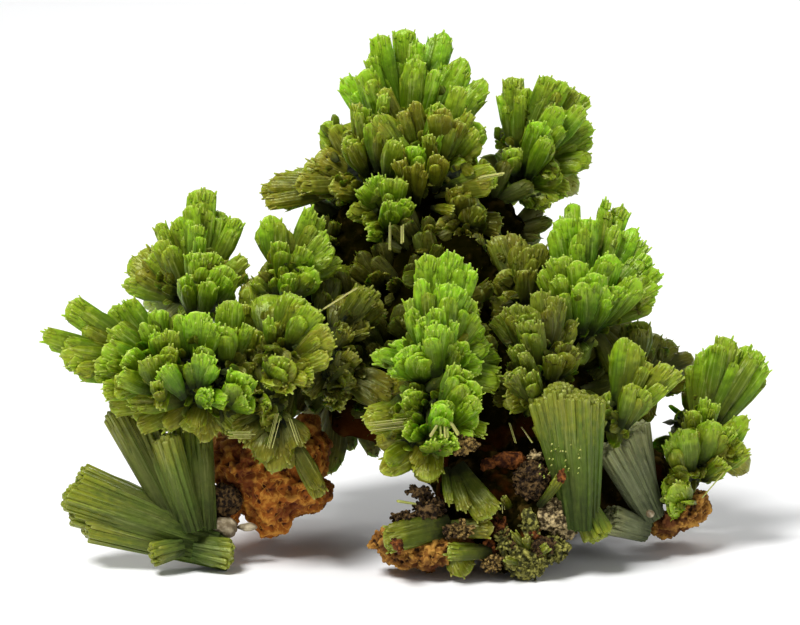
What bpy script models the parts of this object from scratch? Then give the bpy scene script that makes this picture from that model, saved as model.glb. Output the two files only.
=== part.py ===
"""A pyromorphite specimen: sprays of green crystal sheaves on limonite and gossan rock.

Places are given as they are seen from the front, in millimetres: across (right of the middle),
up (over the lowest point) and near (towards the viewer, who looks down a little). The function
seen() turns them into metres in the specimen's own frame, with +Z up and the floor at Z = 0.
"""

from collections import namedtuple
from math import cos, pi, radians, sin, sqrt
from random import Random

import bmesh
import bpy
from mathutils import Vector

MM = 0.001
VIEW_TILT = radians(12)
VIEW_DISTANCE = 400
VIEW_MIDDLE_UP = 26.75
VIEW_MIDDLE = Vector((-1.22, -2.58, 24.3))
TOWARDS_VIEWER = Vector((0, -cos(VIEW_TILT), sin(VIEW_TILT)))
PICTURE_UP = Vector((0, sin(VIEW_TILT), cos(VIEW_TILT)))

BODY_SHARE = 0.68
ROOT_SHARE = 0.35
ROOT_WIDTH = 0.7
THICK_SHARE = 0.8
TOOTH = 0.28
CROWN_SPREAD = 1.15
CLEARANCE = 0.35
FLAT_ENOUGH = radians(16)
SMALL_SHEAF = 2.55
BROAD_SHEAF = 3.0
REAR_SPREAD = radians(68)
GOLDEN_ANGLE = pi * (3 - sqrt(5))
END_ON = 0.25
ROUGH_SIDE = (0.9, 1.04)
HIGH_TOOTH = (0.0, 0.25)
LOW_TOOTH = (0.7, 1.0)
CROWN_DIP = 0.3
CRAG_LEVELS = ((0.94, 0.55), (0.36, 1.0), (-0.4, 1.0), (-0.94, 0.6))
ROUGH_CRAG = (0.93, 1.03)
CRAG_SWAY = 0.5
ROUGH_PIT = (0.85, 1.15)

# A fan is a set of sheaves that spread from one heart. Its tips are rows of across, up, near
# and the width of the crown. A stalk has its own root, so that stalks can lie side by side.
Fan = namedtuple("Fan", "heart core tips")
Stalk = namedtuple("Stalk", "root tip wide thick")
Crag = namedtuple("Crag", "outline middle front back")
Pit = namedtuple("Pit", "centre radii")


def rear_tips(heart, count, reach, wide):
    """Tips of sheaves that point away from the viewer, spread evenly over a cone."""
    tips = []
    for i in range(count):
        lean = REAR_SPREAD * sqrt((i + 0.5) / count)
        turn = i * GOLDEN_ANGLE
        length = reach * (0.88 + 0.12 * cos(5 * i))
        tips.append((
            heart[0] + length * sin(lean) * cos(turn),
            heart[1] + length * sin(lean) * sin(turn),
            heart[2] - length * cos(lean),
            wide * (0.9 + 0.15 * sin(3 * i)),
        ))
    return tuple(tips)


CROWN_SPRAY = (
    Fan((0.8, 40.5, -9.0), 3.6, (
        (-2.0, 54.5, -7.5, 2.2), (0.3, 55.1, -9.0, 2.4), (1.9, 53.8, -7.5, 1.6),
        (4.5, 54.8, -9.5, 2.2), (6.5, 52.2, -8.5, 2.8), (8.6, 50.0, -8.5, 2.0), (1.6, 52.2, -4.5, 2.4),
        (3.6, 51.1, -4.5, 1.6), (4.0, 47.7, -2.0, 1.7), (-3.6, 51.1, -4.5, 2.2),
        (-5.6, 50.3, -7.5, 2.6),
        (8.3, 45.4, -5.0, 2.2), (-5.6, 44.2, -4.5, 1.7), (7.6, 42.6, -5.5, 2.6),
        (1.5, 43.4, -3.0, 2.0), (3.6, 44.8, -3.0, 1.9),
    )),
    Fan((-2.6, 39.5, -9.0), 2.6, (
        (-7.6, 45.8, -9.5, 2.8), (-8.5, 42.4, -8.5, 2.4), (-9.7, 41.0, -9.5, 2.2),
        (-11.8, 40.2, -10.5, 2.0), (-13.9, 38.8, -10.5, 2.0), (-13.5, 37.7, -9.5, 1.8),
        (-7.0, 39.6, -6.5, 2.2),
    )),
    Fan((3.0, 40.2, -6.5), 2.2, (
        (9.6, 40.8, -2.5, 2.4),
    )),
    Fan((0.5, 42.0, -11.0), 3.0, rear_tips((0.5, 42.0, -11.0), 5, 9.0, 3.2)),
)

SMALL_FRONT_SPRAY = (
    Fan((-1.0, 37.2, -6.0), 2.4, (
        (0.0, 40.1, -2.0, 1.6), (-3.9, 39.3, -3.0, 1.5), (0.9, 38.0, -2.0, 1.5),
        (-1.0, 37.8, -1.0, 2.2), (-3.2, 34.8, -3.0, 1.6), (1.6, 34.6, -5.0, 2.0), (-5.4, 36.6, -5.0, 2.2),
    )),
)

CROWN_FOOT_SPRAY = (
    Fan((6.4, 36.0, -7.0), 2.2, (
        (6.2, 39.4, -4.0, 3.0), (7.8, 37.4, -4.0, 2.0), (6.4, 34.4, -4.5, 2.2), (3.6, 35.6, -4.5, 2.2),
        (10.2, 35.6, -6.0, 2.2),
    )),
)

CROWN_BRANCH = (
    Fan((11.5, 40.5, -12.5), 2.6, (
        (11.2, 50.3, -13.0, 1.9), (12.8, 49.2, -12.0, 1.7), (15.1, 50.3, -11.0, 2.1),
        (17.6, 49.0, -12.0, 1.7), (18.7, 48.4, -12.0, 1.7), (18.4, 47.3, -9.5, 2.2),
        (16.0, 47.3, -8.5, 2.0), (14.2, 45.8, -7.5, 2.4), (19.1, 45.6, -12.0, 2.0),
        (19.2, 42.3, -12.0, 2.2), (15.8, 41.6, -9.5, 2.6),
        (14.8, 37.2, -11.0, 1.5), (13.6, 37.2, -11.0, 1.4), (11.6, 43.2, -9.5, 2.4),
    )),
    Fan((12.8, 42.0, -13.2), 2.4, rear_tips((12.8, 42.0, -13.2), 3, 7.5, 3.0)),
)

LEFT_TOWER = (
    Fan((-20.3, 27.5, 1.5), 2.8, (
        (-20.0, 39.1, 1.0, 2.5), (-20.9, 37.5, 3.0, 1.9),
        (-18.0, 36.9, 0.0, 2.0), (-24.2, 35.7, 2.0, 1.4),
        (-24.1, 34.0, 3.0, 2.2), (-27.1, 32.0, 0.0, 2.0),
        (-27.6, 29.9, 1.0, 1.9), (-20.4, 32.7, 6.0, 2.2),
        (-18.6, 32.7, 5.0, 1.7), (-21.5, 30.3, 7.0, 1.9), (-17.2, 31.4, 6.5, 2.6),
        (-15.4, 32.2, 3.0, 1.6),
    )),
    Fan((-20.5, 28.5, -0.5), 2.4, rear_tips((-20.5, 28.5, -0.5), 4, 8.0, 3.0)),
)

LEFT_FRONT_SPRAY = (
    Fan((-23.4, 21.8, 8.5), 3.2, (
        (-33.3, 27.5, 11.0, 2.3), (-35.7, 24.6, 12.0, 2.1), (-34.0, 22.6, 12.0, 2.8),
        (-31.4, 20.7, 11.5, 1.9), (-29.7, 18.9, 12.5, 2.1), (-28.2, 20.4, 13.5, 1.9),
        (-27.6, 27.8, 8.5, 1.9),
        (-24.2, 27.0, 9.5, 1.9),
    )),
    Fan((-20.3, 20.6, 9.0), 2.8, (
        (-22.2, 26.6, 12.0, 1.9), (-20.4, 26.9, 12.5, 2.6),
        (-23.7, 21.4, 14.5, 1.9), (-19.4, 22.6, 14.0, 1.8),
    )),
    Fan((-17.3, 21.0, 7.5), 2.5, (
        (-17.3, 28.0, 8.5, 2.4), (-17.6, 25.4, 11.5, 2.2),
        (-15.7, 20.7, 13.5, 2.3), (-15.6, 18.4, 12.5, 2.3),
    )),
    Fan((-19.4, 18.8, 7.5), 2.5, (
        (-29.1, 17.3, 8.5, 2.3), (-27.4, 18.3, 10.5, 2.1), (-26.2, 15.2, 8.5, 1.8), (-19.6, 13.7, 8.0, 2.3),
        (-16.2, 15.2, 8.5, 2.6),
    )),
    Fan((-21.0, 21.5, 6.0), 2.4, rear_tips((-21.0, 21.5, 6.0), 4, 7.0, 2.8)),
)

LEFT_MIDDLE_SPRAY = (
    Fan((-11.8, 29.0, 0.5), 2.4, (
        (-13.1, 36.5, 1.0, 2.3), (-8.8, 37.2, 1.0, 1.7), (-12.1, 33.9, 4.0, 1.8),
        (-5.9, 32.1, 0.0, 1.7), (-11.1, 30.7, 5.0, 1.4),
        (-4.8, 31.0, -4.0, 2.2), (-9.4, 33.2, 3.5, 2.4), (-8.4, 31.0, 4.0, 2.2), (-14.4, 30.4, 3.5, 1.8),
    )),
    Fan((-11.0, 29.5, -1.5), 2.0, rear_tips((-11.0, 29.5, -1.5), 3, 7.0, 2.8)),
)

LEFT_FAN = (
    Fan((-12.6, 22.6, 8.0), 2.6, (
        (-10.6, 28.6, 9.0, 1.9), (-8.2, 27.0, 11.5, 2.2),
        (-6.8, 24.4, 12.0, 2.2), (-8.6, 20.6, 12.0, 1.6),
        (-12.2, 22.4, 12.5, 2.6), (-12.6, 19.4, 11.5, 2.4), (-13.4, 28.6, 5.5, 2.9),
    )),
)

INNER_LEFT_SPRAY = (
    Fan((-7.0, 24.0, 3.0), 2.6, (
        (-3.2, 29.2, 4.5, 2.2), (-1.8, 27.9, 2.5, 1.8), (-5.3, 25.0, 6.0, 1.6), (-3.0, 25.6, 3.5, 2.0),
        (-5.6, 28.6, 1.0, 2.2),
    )),
    Fan((-7.0, 21.2, 3.5), 2.6, (
        (-6.3, 17.9, 7.0, 1.8), (-0.6, 19.4, 4.5, 2.0), (-0.9, 17.9, 5.0, 1.8), (-5.0, 20.8, 6.5, 1.8),
        (-4.4, 22.6, 6.0, 1.8), (-9.6, 18.8, 4.0, 2.0),
    )),
)

HANGING_SHEAF = (
    Fan((-12.6, 17.4, 8.0), 1.8, (
        (-12.7, 10.7, 9.5, 3.1), (-10.0, 13.0, 8.5, 2.2), (-10.9, 11.1, 8.5, 2.0), (-7.9, 8.3, 8.5, 1.7),
    )),
)

LEFT_UPRIGHT_STALKS = (
    Fan((-21.4, 5.6, 4.0), 2.2, ((-23.6, 5.0, 5.0, 2.2), (-19.0, 6.4, 4.0, 2.4))),
    Stalk((-22.2, 5.4, 3.8), (-28.4, 17.0, 5.5), 2.8, 2.6),
    Stalk((-21.4, 5.0, 4.5), (-26.2, 16.0, 5.8), 2.8, 2.6),
    Stalk((-20.8, 5.0, 5.2), (-24.0, 14.8, 6.5), 2.6, 2.4),
    Stalk((-19.8, 5.0, 4.0), (-21.2, 17.2, 4.0), 3.6, 3.6),
)

LOWER_LEFT_SHEAF = (
    Stalk((-19.0, 4.8, 3.5), (-32.3, 10.5, 4.0), 2.5, 3.2),
    Stalk((-17.6, 3.2, 3.5), (-33.7, 8.5, 5.0), 2.6, 3.6),
    Stalk((-16.9, 2.2, 3.3), (-33.1, 6.9, 3.5), 2.4, 3.2),
    Stalk((-17.2, 1.6, 3.0), (-31.4, 5.1, 4.0), 2.2, 3.0),
    Stalk((-20.0, 2.6, 5.0), (-25.2, 2.9, 6.0), 2.2, 2.2),
)

CENTRE_TOWER = (
    Fan((3.4, 21.0, 8.5), 2.8, (
        (2.7, 32.6, 10.5, 2.3), (4.9, 32.9, 10.5, 2.6), (6.8, 31.6, 10.0, 1.9),
        (2.1, 30.2, 12.5, 1.5),
        (5.2, 29.6, 12.3, 2.4), (7.7, 26.6, 10.5, 1.8),
        (3.8, 27.2, 15.0, 1.5), (3.9, 25.6, 15.5, 1.8),
        (8.4, 25.4, 8.5, 1.9), (6.8, 23.8, 11.0, 1.8),
        (-2.9, 22.4, 8.5, 1.6),
        (0.9, 23.2, 13.3, 2.6), (10.0, 22.2, 6.5, 2.0), (10.1, 19.9, 7.5, 2.2),
    )),
    Fan((2.8, 17.8, 9.0), 2.4, (
        (5.8, 21.5, 15.0, 1.9), (7.7, 19.8, 15.0, 1.9),
        (0.6, 19.0, 12.5, 1.8), (-3.6, 15.7, 10.5, 2.3), (0.4, 15.1, 14.0, 1.7),
        (3.5, 13.9, 15.5, 1.6), (5.6, 14.2, 15.5, 1.9), (7.9, 16.1, 12.5, 1.7),
        (8.6, 14.9, 12.0, 1.7), (4.4, 17.6, 15.5, 2.2),
    )),
    Fan((3.0, 16.0, 7.6), 2.4, (
        (-2.0, 10.8, 11.5, 2.7), (2.7, 9.9, 10.5, 2.5), (-2.3, 13.5, 5.5, 1.9),
    )),
    Fan((3.2, 20.0, 6.0), 2.8, rear_tips((3.2, 20.0, 6.0), 2, 5.5, 3.2)),
)

RIGHT_CROWN = (
    Fan((18.0, 24.5, 0.5), 3.2, (
        (16.3, 36.2, 1.5, 2.3), (17.3, 37.7, -5.0, 1.8), (18.9, 36.1, 2.5, 1.9),
        (20.7, 38.0, 0.0, 1.2), (22.3, 37.3, -1.0, 1.6), (23.6, 35.2, -0.5, 1.7),
        (25.0, 32.4, 0.5, 1.7), (25.9, 30.9, 1.0, 1.7),
        (25.5, 28.3, 1.0, 1.5), (16.3, 32.4, 5.0, 1.7),
        (15.8, 30.2, 6.0, 1.9), (19.7, 30.7, 5.5, 2.2),
        (18.2, 29.8, 6.0, 1.9), (23.9, 30.2, 4.0, 1.9),
    )),
    Fan((18.5, 27.0, -2.0), 2.8, rear_tips((18.5, 27.0, -2.0), 5, 9.0, 3.2)),
)

SHOULDER_SPRAY = (
    Fan((12.4, 27.0, -2.5), 3.0, (
        (9.6, 34.4, -3.5, 2.2), (11.0, 34.7, -3.5, 2.4), (10.2, 31.0, -1.0, 2.4), (12.8, 33.3, 0.0, 1.9),
        (14.2, 33.7, 0.0, 1.9), (12.6, 31.0, 1.5, 2.0), (9.4, 28.0, 0.0, 2.2),
    )),
)

RIGHT_BACK_SPRAY = (
    Fan((23.6, 20.4, -5.5), 3.0, (
        (24.0, 25.9, -2.0, 2.4), (25.8, 24.6, -7.5, 2.6), (27.6, 23.6, -8.5, 2.4), (29.4, 22.2, -9.0, 2.6),
        (28.4, 19.4, -7.0, 2.8), (24.6, 15.6, -5.5, 3.0), (22.4, 24.4, -9.0, 2.6), (25.4, 20.6, -11.5, 2.8),
    )),
)

RIGHT_FRONT_SPRAY = (
    Fan((14.6, 20.5, 5.0), 3.2, (
        (10.5, 27.2, 8.0, 1.7), (12.4, 27.4, 8.5, 1.8), (14.0, 28.9, 7.5, 2.0),
        (15.2, 28.4, 7.5, 1.7),
        (9.4, 26.3, 6.0, 1.7), (10.8, 20.6, 11.0, 1.7),
        (13.0, 20.8, 11.5, 1.7), (17.3, 23.5, 8.5, 2.4), (15.4, 22.6, 9.5, 1.9),
        (10.6, 18.0, 8.5, 2.2),
    )),
)

RIGHT_SIDE_SPRAY = (
    Fan((21.4, 15.0, 5.0), 2.0, (
        (22.4, 24.3, 7.0, 1.8), (24.0, 23.2, 6.0, 1.6), (27.0, 21.5, 6.5, 2.1),
        (28.0, 20.8, 6.5, 1.8), (24.9, 21.8, 6.0, 1.6),
        (20.8, 18.8, 5.0, 1.8),
    )),
)

RIGHT_TRUNK = (
    Stalk((17.4, 6.4, 6.5), (14.0, 18.7, 9.5), 2.4, 2.8),
    Stalk((17.6, 5.4, 7.5), (15.7, 19.7, 10.5), 2.6, 3.0),
    Stalk((18.2, 5.2, 7.5), (17.6, 19.0, 11.0), 2.6, 3.2),
    Stalk((18.8, 5.4, 6.5), (19.1, 18.5, 9.5), 2.4, 3.2),
    Stalk((18.2, 8.0, 5.0), (14.2, 16.0, 7.0), 2.2, 2.4),
    Stalk((18.0, 8.0, 6.5), (20.0, 3.9, 6.5), 3.0, 3.0),
)

GREY_STALKS = (
    Stalk((25.0, 6.0, 1.0), (20.6, 13.6, 4.0), 2.4, 2.6),
    Stalk((25.6, 6.4, 0.0), (22.2, 14.6, 2.5), 2.4, 2.6),
    Stalk((25.2, 8.0, -1.0), (24.0, 15.9, 0.5), 1.8, 2.2),
    Stalk((24.6, 4.9, 1.0), (20.4, 6.2, 2.5), 2.8, 3.4),
)

FAR_RIGHT_SPRAY = (
    Fan((29.2, 12.0, -3.5), 2.4, (
        (30.4, 22.9, -3.5, 1.9), (32.6, 24.3, -3.5, 1.9), (33.5, 23.6, -3.5, 1.5),
        (34.9, 23.4, -4.0, 1.9), (36.5, 21.8, -4.0, 1.7), (30.5, 18.1, 0.5, 1.5),
        (29.3, 17.0, 1.0, 1.7), (28.4, 15.1, 3.0, 2.8),
        (31.5, 15.9, 2.0, 2.5),
    )),
    Fan((29.2, 10.4, -2.0), 2.5, (
        (34.7, 16.4, 0.0, 2.4), (34.4, 13.6, 0.5, 2.6), (32.6, 11.9, 0.5, 1.8), (27.4, 9.6, 3.0, 2.8),
        (26.9, 7.6, 2.0, 2.4),
    )),
    Fan((30.0, 14.0, -6.0), 2.2, rear_tips((30.0, 14.0, -6.0), 3, 7.0, 2.8)),
)

LEDGE_SHEAVES = (
    Fan((7.2, 4.8, 8.0), 1.8, (
        (-1.5, 3.7, 10.0, 2.8), (4.7, 2.7, 10.5, 1.5), (6.5, 0.5, 8.5, 2.2), (9.6, 6.0, 10.2, 1.6),
    )),
)

SLANTED_SHEAF = (
    Fan((6.2, 11.0, 8.4), 1.5, ((9.3, 6.8, 10.8, 2.6), (6.8, 7.4, 10.6, 1.7))),
)

BACK_LEFT_SPRAY = (
    Fan((-6.0, 20.0, -11.0), 3.0, rear_tips((-6.0, 20.0, -11.0), 7, 10.5, 3.2)),
)

BACK_RIGHT_SPRAY = (
    Fan((15.0, 17.0, -12.0), 3.2, rear_tips((15.0, 17.0, -12.0), 7, 11.0, 3.4)),
)

BACK_UPPER_SPRAY = (
    Fan((4.0, 30.0, -13.0), 2.8, rear_tips((4.0, 30.0, -13.0), 7, 9.5, 3.0)),
)

LIMONITE_BLOCK = (
    Crag((
        (-19.4, 12.0), (-18.4, 14.6), (-16.6, 15.0), (-13.5, 14.6), (-10.5, 15.4), (-7.6, 14.4), (-7.4, 11.6),
        (-8.0, 10.0), (-6.9, 9.6), (-6.8, 8.4), (-8.2, 6.9), (-10.6, 6.5), (-11.2, 5.0), (-12.4, 4.1),
        (-13.8, 4.2), (-14.6, 5.4), (-16.2, 7.4), (-17.4, 9.2), (-19.2, 9.8),
    ), -1.5, 5.5, 9.0),
    Crag((
        (-11.2, 15.0), (-9.8, 16.9), (-8.3, 16.2), (-7.9, 14.8), (-6.9, 13.7), (-7.3, 11.0), (-9.6, 10.6), (-11.0, 12.0),
    ), -3.0, 4.0, 4.0),
    Crag((
        (-19.6, 8.8), (-17.6, 9.4), (-15.8, 8.0), (-16.4, 5.4), (-18.2, 4.6), (-19.8, 5.6),
    ), 0.0, 2.6, 3.0),
)
LIMONITE_PITS = (
    Pit((-10.0, 10.8, 4.4), (1.6, 1.2, 1.8)),
    Pit((-13.6, 8.0, 4.4), (1.3, 1.0, 1.6)),
    Pit((-16.6, 12.6, 3.4), (1.0, 0.9, 1.4)),
    Pit((-12.0, 10.0, -9.0), (2.0, 1.4, 2.0)),
)

LIMONITE_LEDGE_FRONT = (
    Crag((
        (-3.4, 3.6), (-2.4, 4.9), (-1.0, 5.3), (3.0, 5.4), (6.4, 4.6), (8.2, 3.6), (8.0, 2.4), (5.6, 2.2),
        (4.2, 1.6), (3.0, 0.8), (1.6, 1.3), (0.0, 1.3), (-1.4, 2.2),
    ), 6.5, 2.6, 3.4),
)

LIMONITE_LEDGE_RIGHT = (
    Crag((
        (24.4, 5.4), (25.4, 6.4), (27.6, 7.4), (29.4, 9.2), (30.4, 8.6), (30.9, 7.0), (30.4, 6.0), (28.8, 5.0),
        (26.8, 4.5), (25.2, 4.8),
    ), -3.5, 4.0, 5.0),
)

GOSSAN_CORE = (
    Crag((
        (3.6, 8.4), (4.4, 12.6), (8.0, 13.6), (12.0, 12.4), (16.0, 10.6), (17.6, 7.8), (17.0, 5.6), (15.7, 5.0),
        (15.4, 3.4), (14.2, 1.6), (12.0, 0.8), (10.4, 0.0), (9.4, 1.0), (7.6, 2.6), (5.0, 4.6), (4.0, 6.4),
    ), 3.0, 5.4, 10.0),
    Crag((
        (-7.4, 18.4), (-7.0, 24.0), (-2.0, 31.0), (2.0, 34.6), (7.6, 34.6), (12.0, 30.0), (16.0, 24.0),
        (20.0, 19.0), (20.6, 13.6), (16.0, 9.0), (10.0, 6.0), (4.0, 8.0), (0.0, 12.6), (-4.0, 14.6), (-7.0, 15.0),
    ), -6.0, 6.5, 8.0),
    Crag((
        (-12.6, 19.4), (-12.4, 24.0), (-9.0, 28.4), (-4.0, 28.0), (-1.0, 22.0), (-2.0, 17.6), (-6.6, 18.8),
    ), -2.5, 3.6, 5.0),
    Crag((
        (-9.6, 26.0), (-8.6, 34.0), (-5.4, 38.4), (2.0, 39.4), (9.6, 39.6), (12.4, 35.6), (10.0, 28.0), (0.0, 25.0),
    ), -11.0, 3.4, 4.0),
    Crag((
        (18.0, 8.0), (17.0, 14.0), (22.0, 15.0), (27.4, 12.0), (28.4, 8.6), (25.0, 7.0), (20.0, 6.6),
    ), -6.0, 3.6, 4.0),
    Crag((
        (4.0, 6.6), (4.0, 12.0), (10.0, 14.0), (17.0, 12.0), (17.0, 5.8), (12.0, 4.0), (7.0, 4.0),
    ), -12.0, 5.0, 5.0),
)
GOSSAN_PITS = (
    Pit((10.8, 7.4, 8.6), (1.8, 1.4, 1.8)),
    Pit((6.8, 10.6, 7.6), (1.5, 1.3, 1.6)),
    Pit((13.6, 11.4, 7.0), (1.4, 1.2, 1.6)),
)

# Name, shapes, pits, colour, roughness, in the order in which they keep their full form:
# a later piece is cut back where it meets an earlier one.
PIECES = (
    ("gossan_core", GOSSAN_CORE, GOSSAN_PITS, (0.02, 0.016, 0.012), 0.85),
    ("limonite_block", LIMONITE_BLOCK, LIMONITE_PITS, (0.30, 0.11, 0.02), 0.9),
    ("limonite_ledge_front", LIMONITE_LEDGE_FRONT, (), (0.22, 0.09, 0.02), 0.9),
    ("limonite_ledge_right", LIMONITE_LEDGE_RIGHT, (), (0.30, 0.13, 0.03), 0.9),
    ("left_front_spray", LEFT_FRONT_SPRAY, (), (0.25, 0.36, 0.04), 0.4),
    ("centre_tower", CENTRE_TOWER, (), (0.27, 0.42, 0.04), 0.4),
    ("left_fan", LEFT_FAN, (), (0.22, 0.31, 0.04), 0.4),
    ("inner_left_spray", INNER_LEFT_SPRAY, (), (0.16, 0.22, 0.04), 0.45),
    ("hanging_sheaf", HANGING_SHEAF, (), (0.16, 0.24, 0.05), 0.45),
    ("right_front_spray", RIGHT_FRONT_SPRAY, (), (0.22, 0.27, 0.04), 0.45),
    ("right_trunk", RIGHT_TRUNK, (), (0.10, 0.20, 0.06), 0.45),
    ("right_side_spray", RIGHT_SIDE_SPRAY, (), (0.20, 0.27, 0.04), 0.45),
    ("right_crown", RIGHT_CROWN, (), (0.24, 0.38, 0.04), 0.4),
    ("shoulder_spray", SHOULDER_SPRAY, (), (0.14, 0.18, 0.03), 0.5),
    ("right_back_spray", RIGHT_BACK_SPRAY, (), (0.15, 0.22, 0.05), 0.5),
    ("left_tower", LEFT_TOWER, (), (0.23, 0.35, 0.04), 0.4),
    ("left_middle_spray", LEFT_MIDDLE_SPRAY, (), (0.18, 0.26, 0.04), 0.45),
    ("lower_left_sheaf", LOWER_LEFT_SHEAF, (), (0.12, 0.22, 0.05), 0.5),
    ("left_upright_stalks", LEFT_UPRIGHT_STALKS, (), (0.11, 0.18, 0.05), 0.5),
    ("crown_spray", CROWN_SPRAY, (), (0.24, 0.36, 0.05), 0.4),
    ("small_front_spray", SMALL_FRONT_SPRAY, (), (0.22, 0.34, 0.05), 0.4),
    ("crown_foot_spray", CROWN_FOOT_SPRAY, (), (0.15, 0.20, 0.04), 0.5),
    ("crown_branch", CROWN_BRANCH, (), (0.22, 0.33, 0.05), 0.45),
    ("far_right_spray", FAR_RIGHT_SPRAY, (), (0.18, 0.28, 0.04), 0.45),
    ("grey_stalks", GREY_STALKS, (), (0.11, 0.14, 0.08), 0.55),
    ("slanted_sheaf", SLANTED_SHEAF, (), (0.13, 0.17, 0.04), 0.5),
    ("ledge_sheaves", LEDGE_SHEAVES, (), (0.13, 0.17, 0.04), 0.5),
    ("back_left_spray", BACK_LEFT_SPRAY, (), (0.15, 0.24, 0.04), 0.45),
    ("back_right_spray", BACK_RIGHT_SPRAY, (), (0.15, 0.24, 0.04), 0.45),
    ("back_upper_spray", BACK_UPPER_SPRAY, (), (0.15, 0.24, 0.04), 0.45),
)


def seen(place):
    """Metres in the specimen's frame for a place given as across, up and near."""
    across, up, near = place
    shrink = 1 - near / VIEW_DISTANCE
    in_picture = Vector((across, 0, 0)) + PICTURE_UP * (up - VIEW_MIDDLE_UP)
    return (VIEW_MIDDLE + in_picture * shrink + TOWARDS_VIEWER * near) * MM


def object_from(name, mesh_maker):
    """A new object whose mesh is filled in by mesh_maker, with its faces pointing out."""
    mesh = bpy.data.meshes.new(name)
    bm = bmesh.new()
    mesh_maker(bm)
    bmesh.ops.recalc_face_normals(bm, faces=bm.faces)
    bm.to_mesh(mesh)
    bm.free()
    obj = bpy.data.objects.new(name, mesh)
    bpy.context.scene.collection.objects.link(obj)
    return obj


def skin_rings(bm, rings, first_end, last_end):
    """Walls between rings of equal length, closed with a point at each end that has one."""
    rows = [[bm.verts.new(point) for point in ring] for ring in rings]
    for low, high in zip(rows, rows[1:]):
        for i in range(len(low)):
            j = (i + 1) % len(low)
            bm.faces.new((low[i], low[j], high[j], high[i]))
    for row, end in ((rows[0], first_end), (rows[-1], last_end)):
        if end is None:
            bm.faces.new(row)
            continue
        centre = bm.verts.new(end)
        for i in range(len(row)):
            bm.faces.new((row[i], row[(i + 1) % len(row)], centre))


def sheaf(root, tip, wide, thick, seed, swell):
    """One sheaf of crystals: it widens from its root to a crown of teeth."""
    draw = Random(seed)
    root, tip = seen(root), seen(tip)
    along = (tip - root).normalized()
    side = along.cross(TOWARDS_VIEWER)
    if side.length < END_ON:
        side = along.cross(PICTURE_UP)
    side.normalize()
    depth = side.cross(along)
    root = root - along * swell * MM
    tip = tip + along * swell * MM
    sides = 4 if wide < SMALL_SHEAF else 6 if wide > BROAD_SHEAF else 5
    phase = draw.random()
    rings = ([], [])
    for i in range(sides):
        turn = 2 * pi * (i + phase) / sides
        rough = draw.uniform(*ROUGH_SIDE)
        reach_side = side * cos(turn) * (wide * CROWN_SPREAD / 2 * rough + swell) * MM
        reach_depth = depth * sin(turn) * (thick * CROWN_SPREAD / 2 * rough + swell) * MM
        tooth = TOOTH * wide * MM * draw.uniform(*(LOW_TOOTH if i % 2 else HIGH_TOOTH))
        rings[0].append(root + (reach_side + reach_depth) * ROOT_WIDTH)
        rings[1].append(tip + reach_side + reach_depth - along * tooth)
    middle = tip - along * TOOTH * wide * MM * CROWN_DIP
    return object_from("sheaf", lambda bm: skin_rings(bm, rings, None, middle))


def fan_body(fan, swell):
    """The dense middle of a fan, where its sheaves have grown into one mass."""
    heart = Vector(fan.heart)
    spots = []
    for axis in (Vector((1, 0, 0)), Vector((0, 1, 0)), Vector((0, 0, 1))):
        spots += [heart + axis * (fan.core + swell), heart - axis * (fan.core + swell)]
    for across, up, near, wide in fan.tips:
        arm = Vector((across, up, near)) - heart
        spots.append(heart + arm * BODY_SHARE + arm.normalized() * swell)

    def fill(bm):
        verts = [bm.verts.new(seen(spot)) for spot in spots]
        hull = bmesh.ops.convex_hull(bm, input=verts)
        inside = [item for item in hull["geom_interior"] if isinstance(item, bmesh.types.BMVert)]
        bmesh.ops.delete(bm, geom=inside, context="VERTS")

    return object_from("body", fill)


def crag(shape, seed, swell):
    """A rugged lump of rock with a drawn outline, stepped down towards its front and back."""
    draw = Random(seed)
    count = len(shape.outline)
    middle = Vector((sum(p[0] for p in shape.outline), sum(p[1] for p in shape.outline))) / count
    rings = []
    for share, size in CRAG_LEVELS:
        near = shape.middle + share * (shape.front if share > 0 else shape.back)
        near += swell * (share > 0) - swell * (share < 0)
        ring = []
        for point in shape.outline:
            arm = Vector(point) - middle
            rough = draw.uniform(*ROUGH_CRAG)
            spot = middle + arm * size * rough + arm.normalized() * swell
            ring.append(seen((spot.x, spot.y, near + draw.uniform(-CRAG_SWAY, CRAG_SWAY))))
        rings.append(ring)
    front = seen((middle.x, middle.y, shape.middle + shape.front + swell))
    back = seen((middle.x, middle.y, shape.middle - shape.back - swell))
    return object_from("crag", lambda bm: skin_rings(bm, rings, front, back))


def pit_cutter(pit, seed):
    draw = Random(seed)

    def fill(bm):
        bmesh.ops.create_icosphere(bm, subdivisions=1, radius=1.0)
        for vert in bm.verts:
            across, depth, up = vert.co * draw.uniform(*ROUGH_PIT)
            vert.co = Vector((across * pit.radii[0], depth * pit.radii[2], up * pit.radii[1])) * MM
            vert.co += seen(pit.centre)

    return object_from("pit", fill)


def shells(shapes, swell):
    """The closed shells that a piece is joined from, each grown outwards by swell."""
    made = []
    for number, shape in enumerate(shapes):
        seed = 100 * number
        if isinstance(shape, Fan):
            made.append(fan_body(shape, swell))
            heart = Vector(shape.heart)
            for row, (across, up, near, wide) in enumerate(shape.tips):
                tip = Vector((across, up, near))
                root = heart.lerp(tip, ROOT_SHARE)
                made.append(sheaf(root, tip, wide, wide * THICK_SHARE, seed + row + 1, swell))
        elif isinstance(shape, Stalk):
            made.append(sheaf(shape.root, shape.tip, shape.wide, shape.thick, seed, swell))
        else:
            made.append(crag(shape, seed, swell))
    return made


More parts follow.
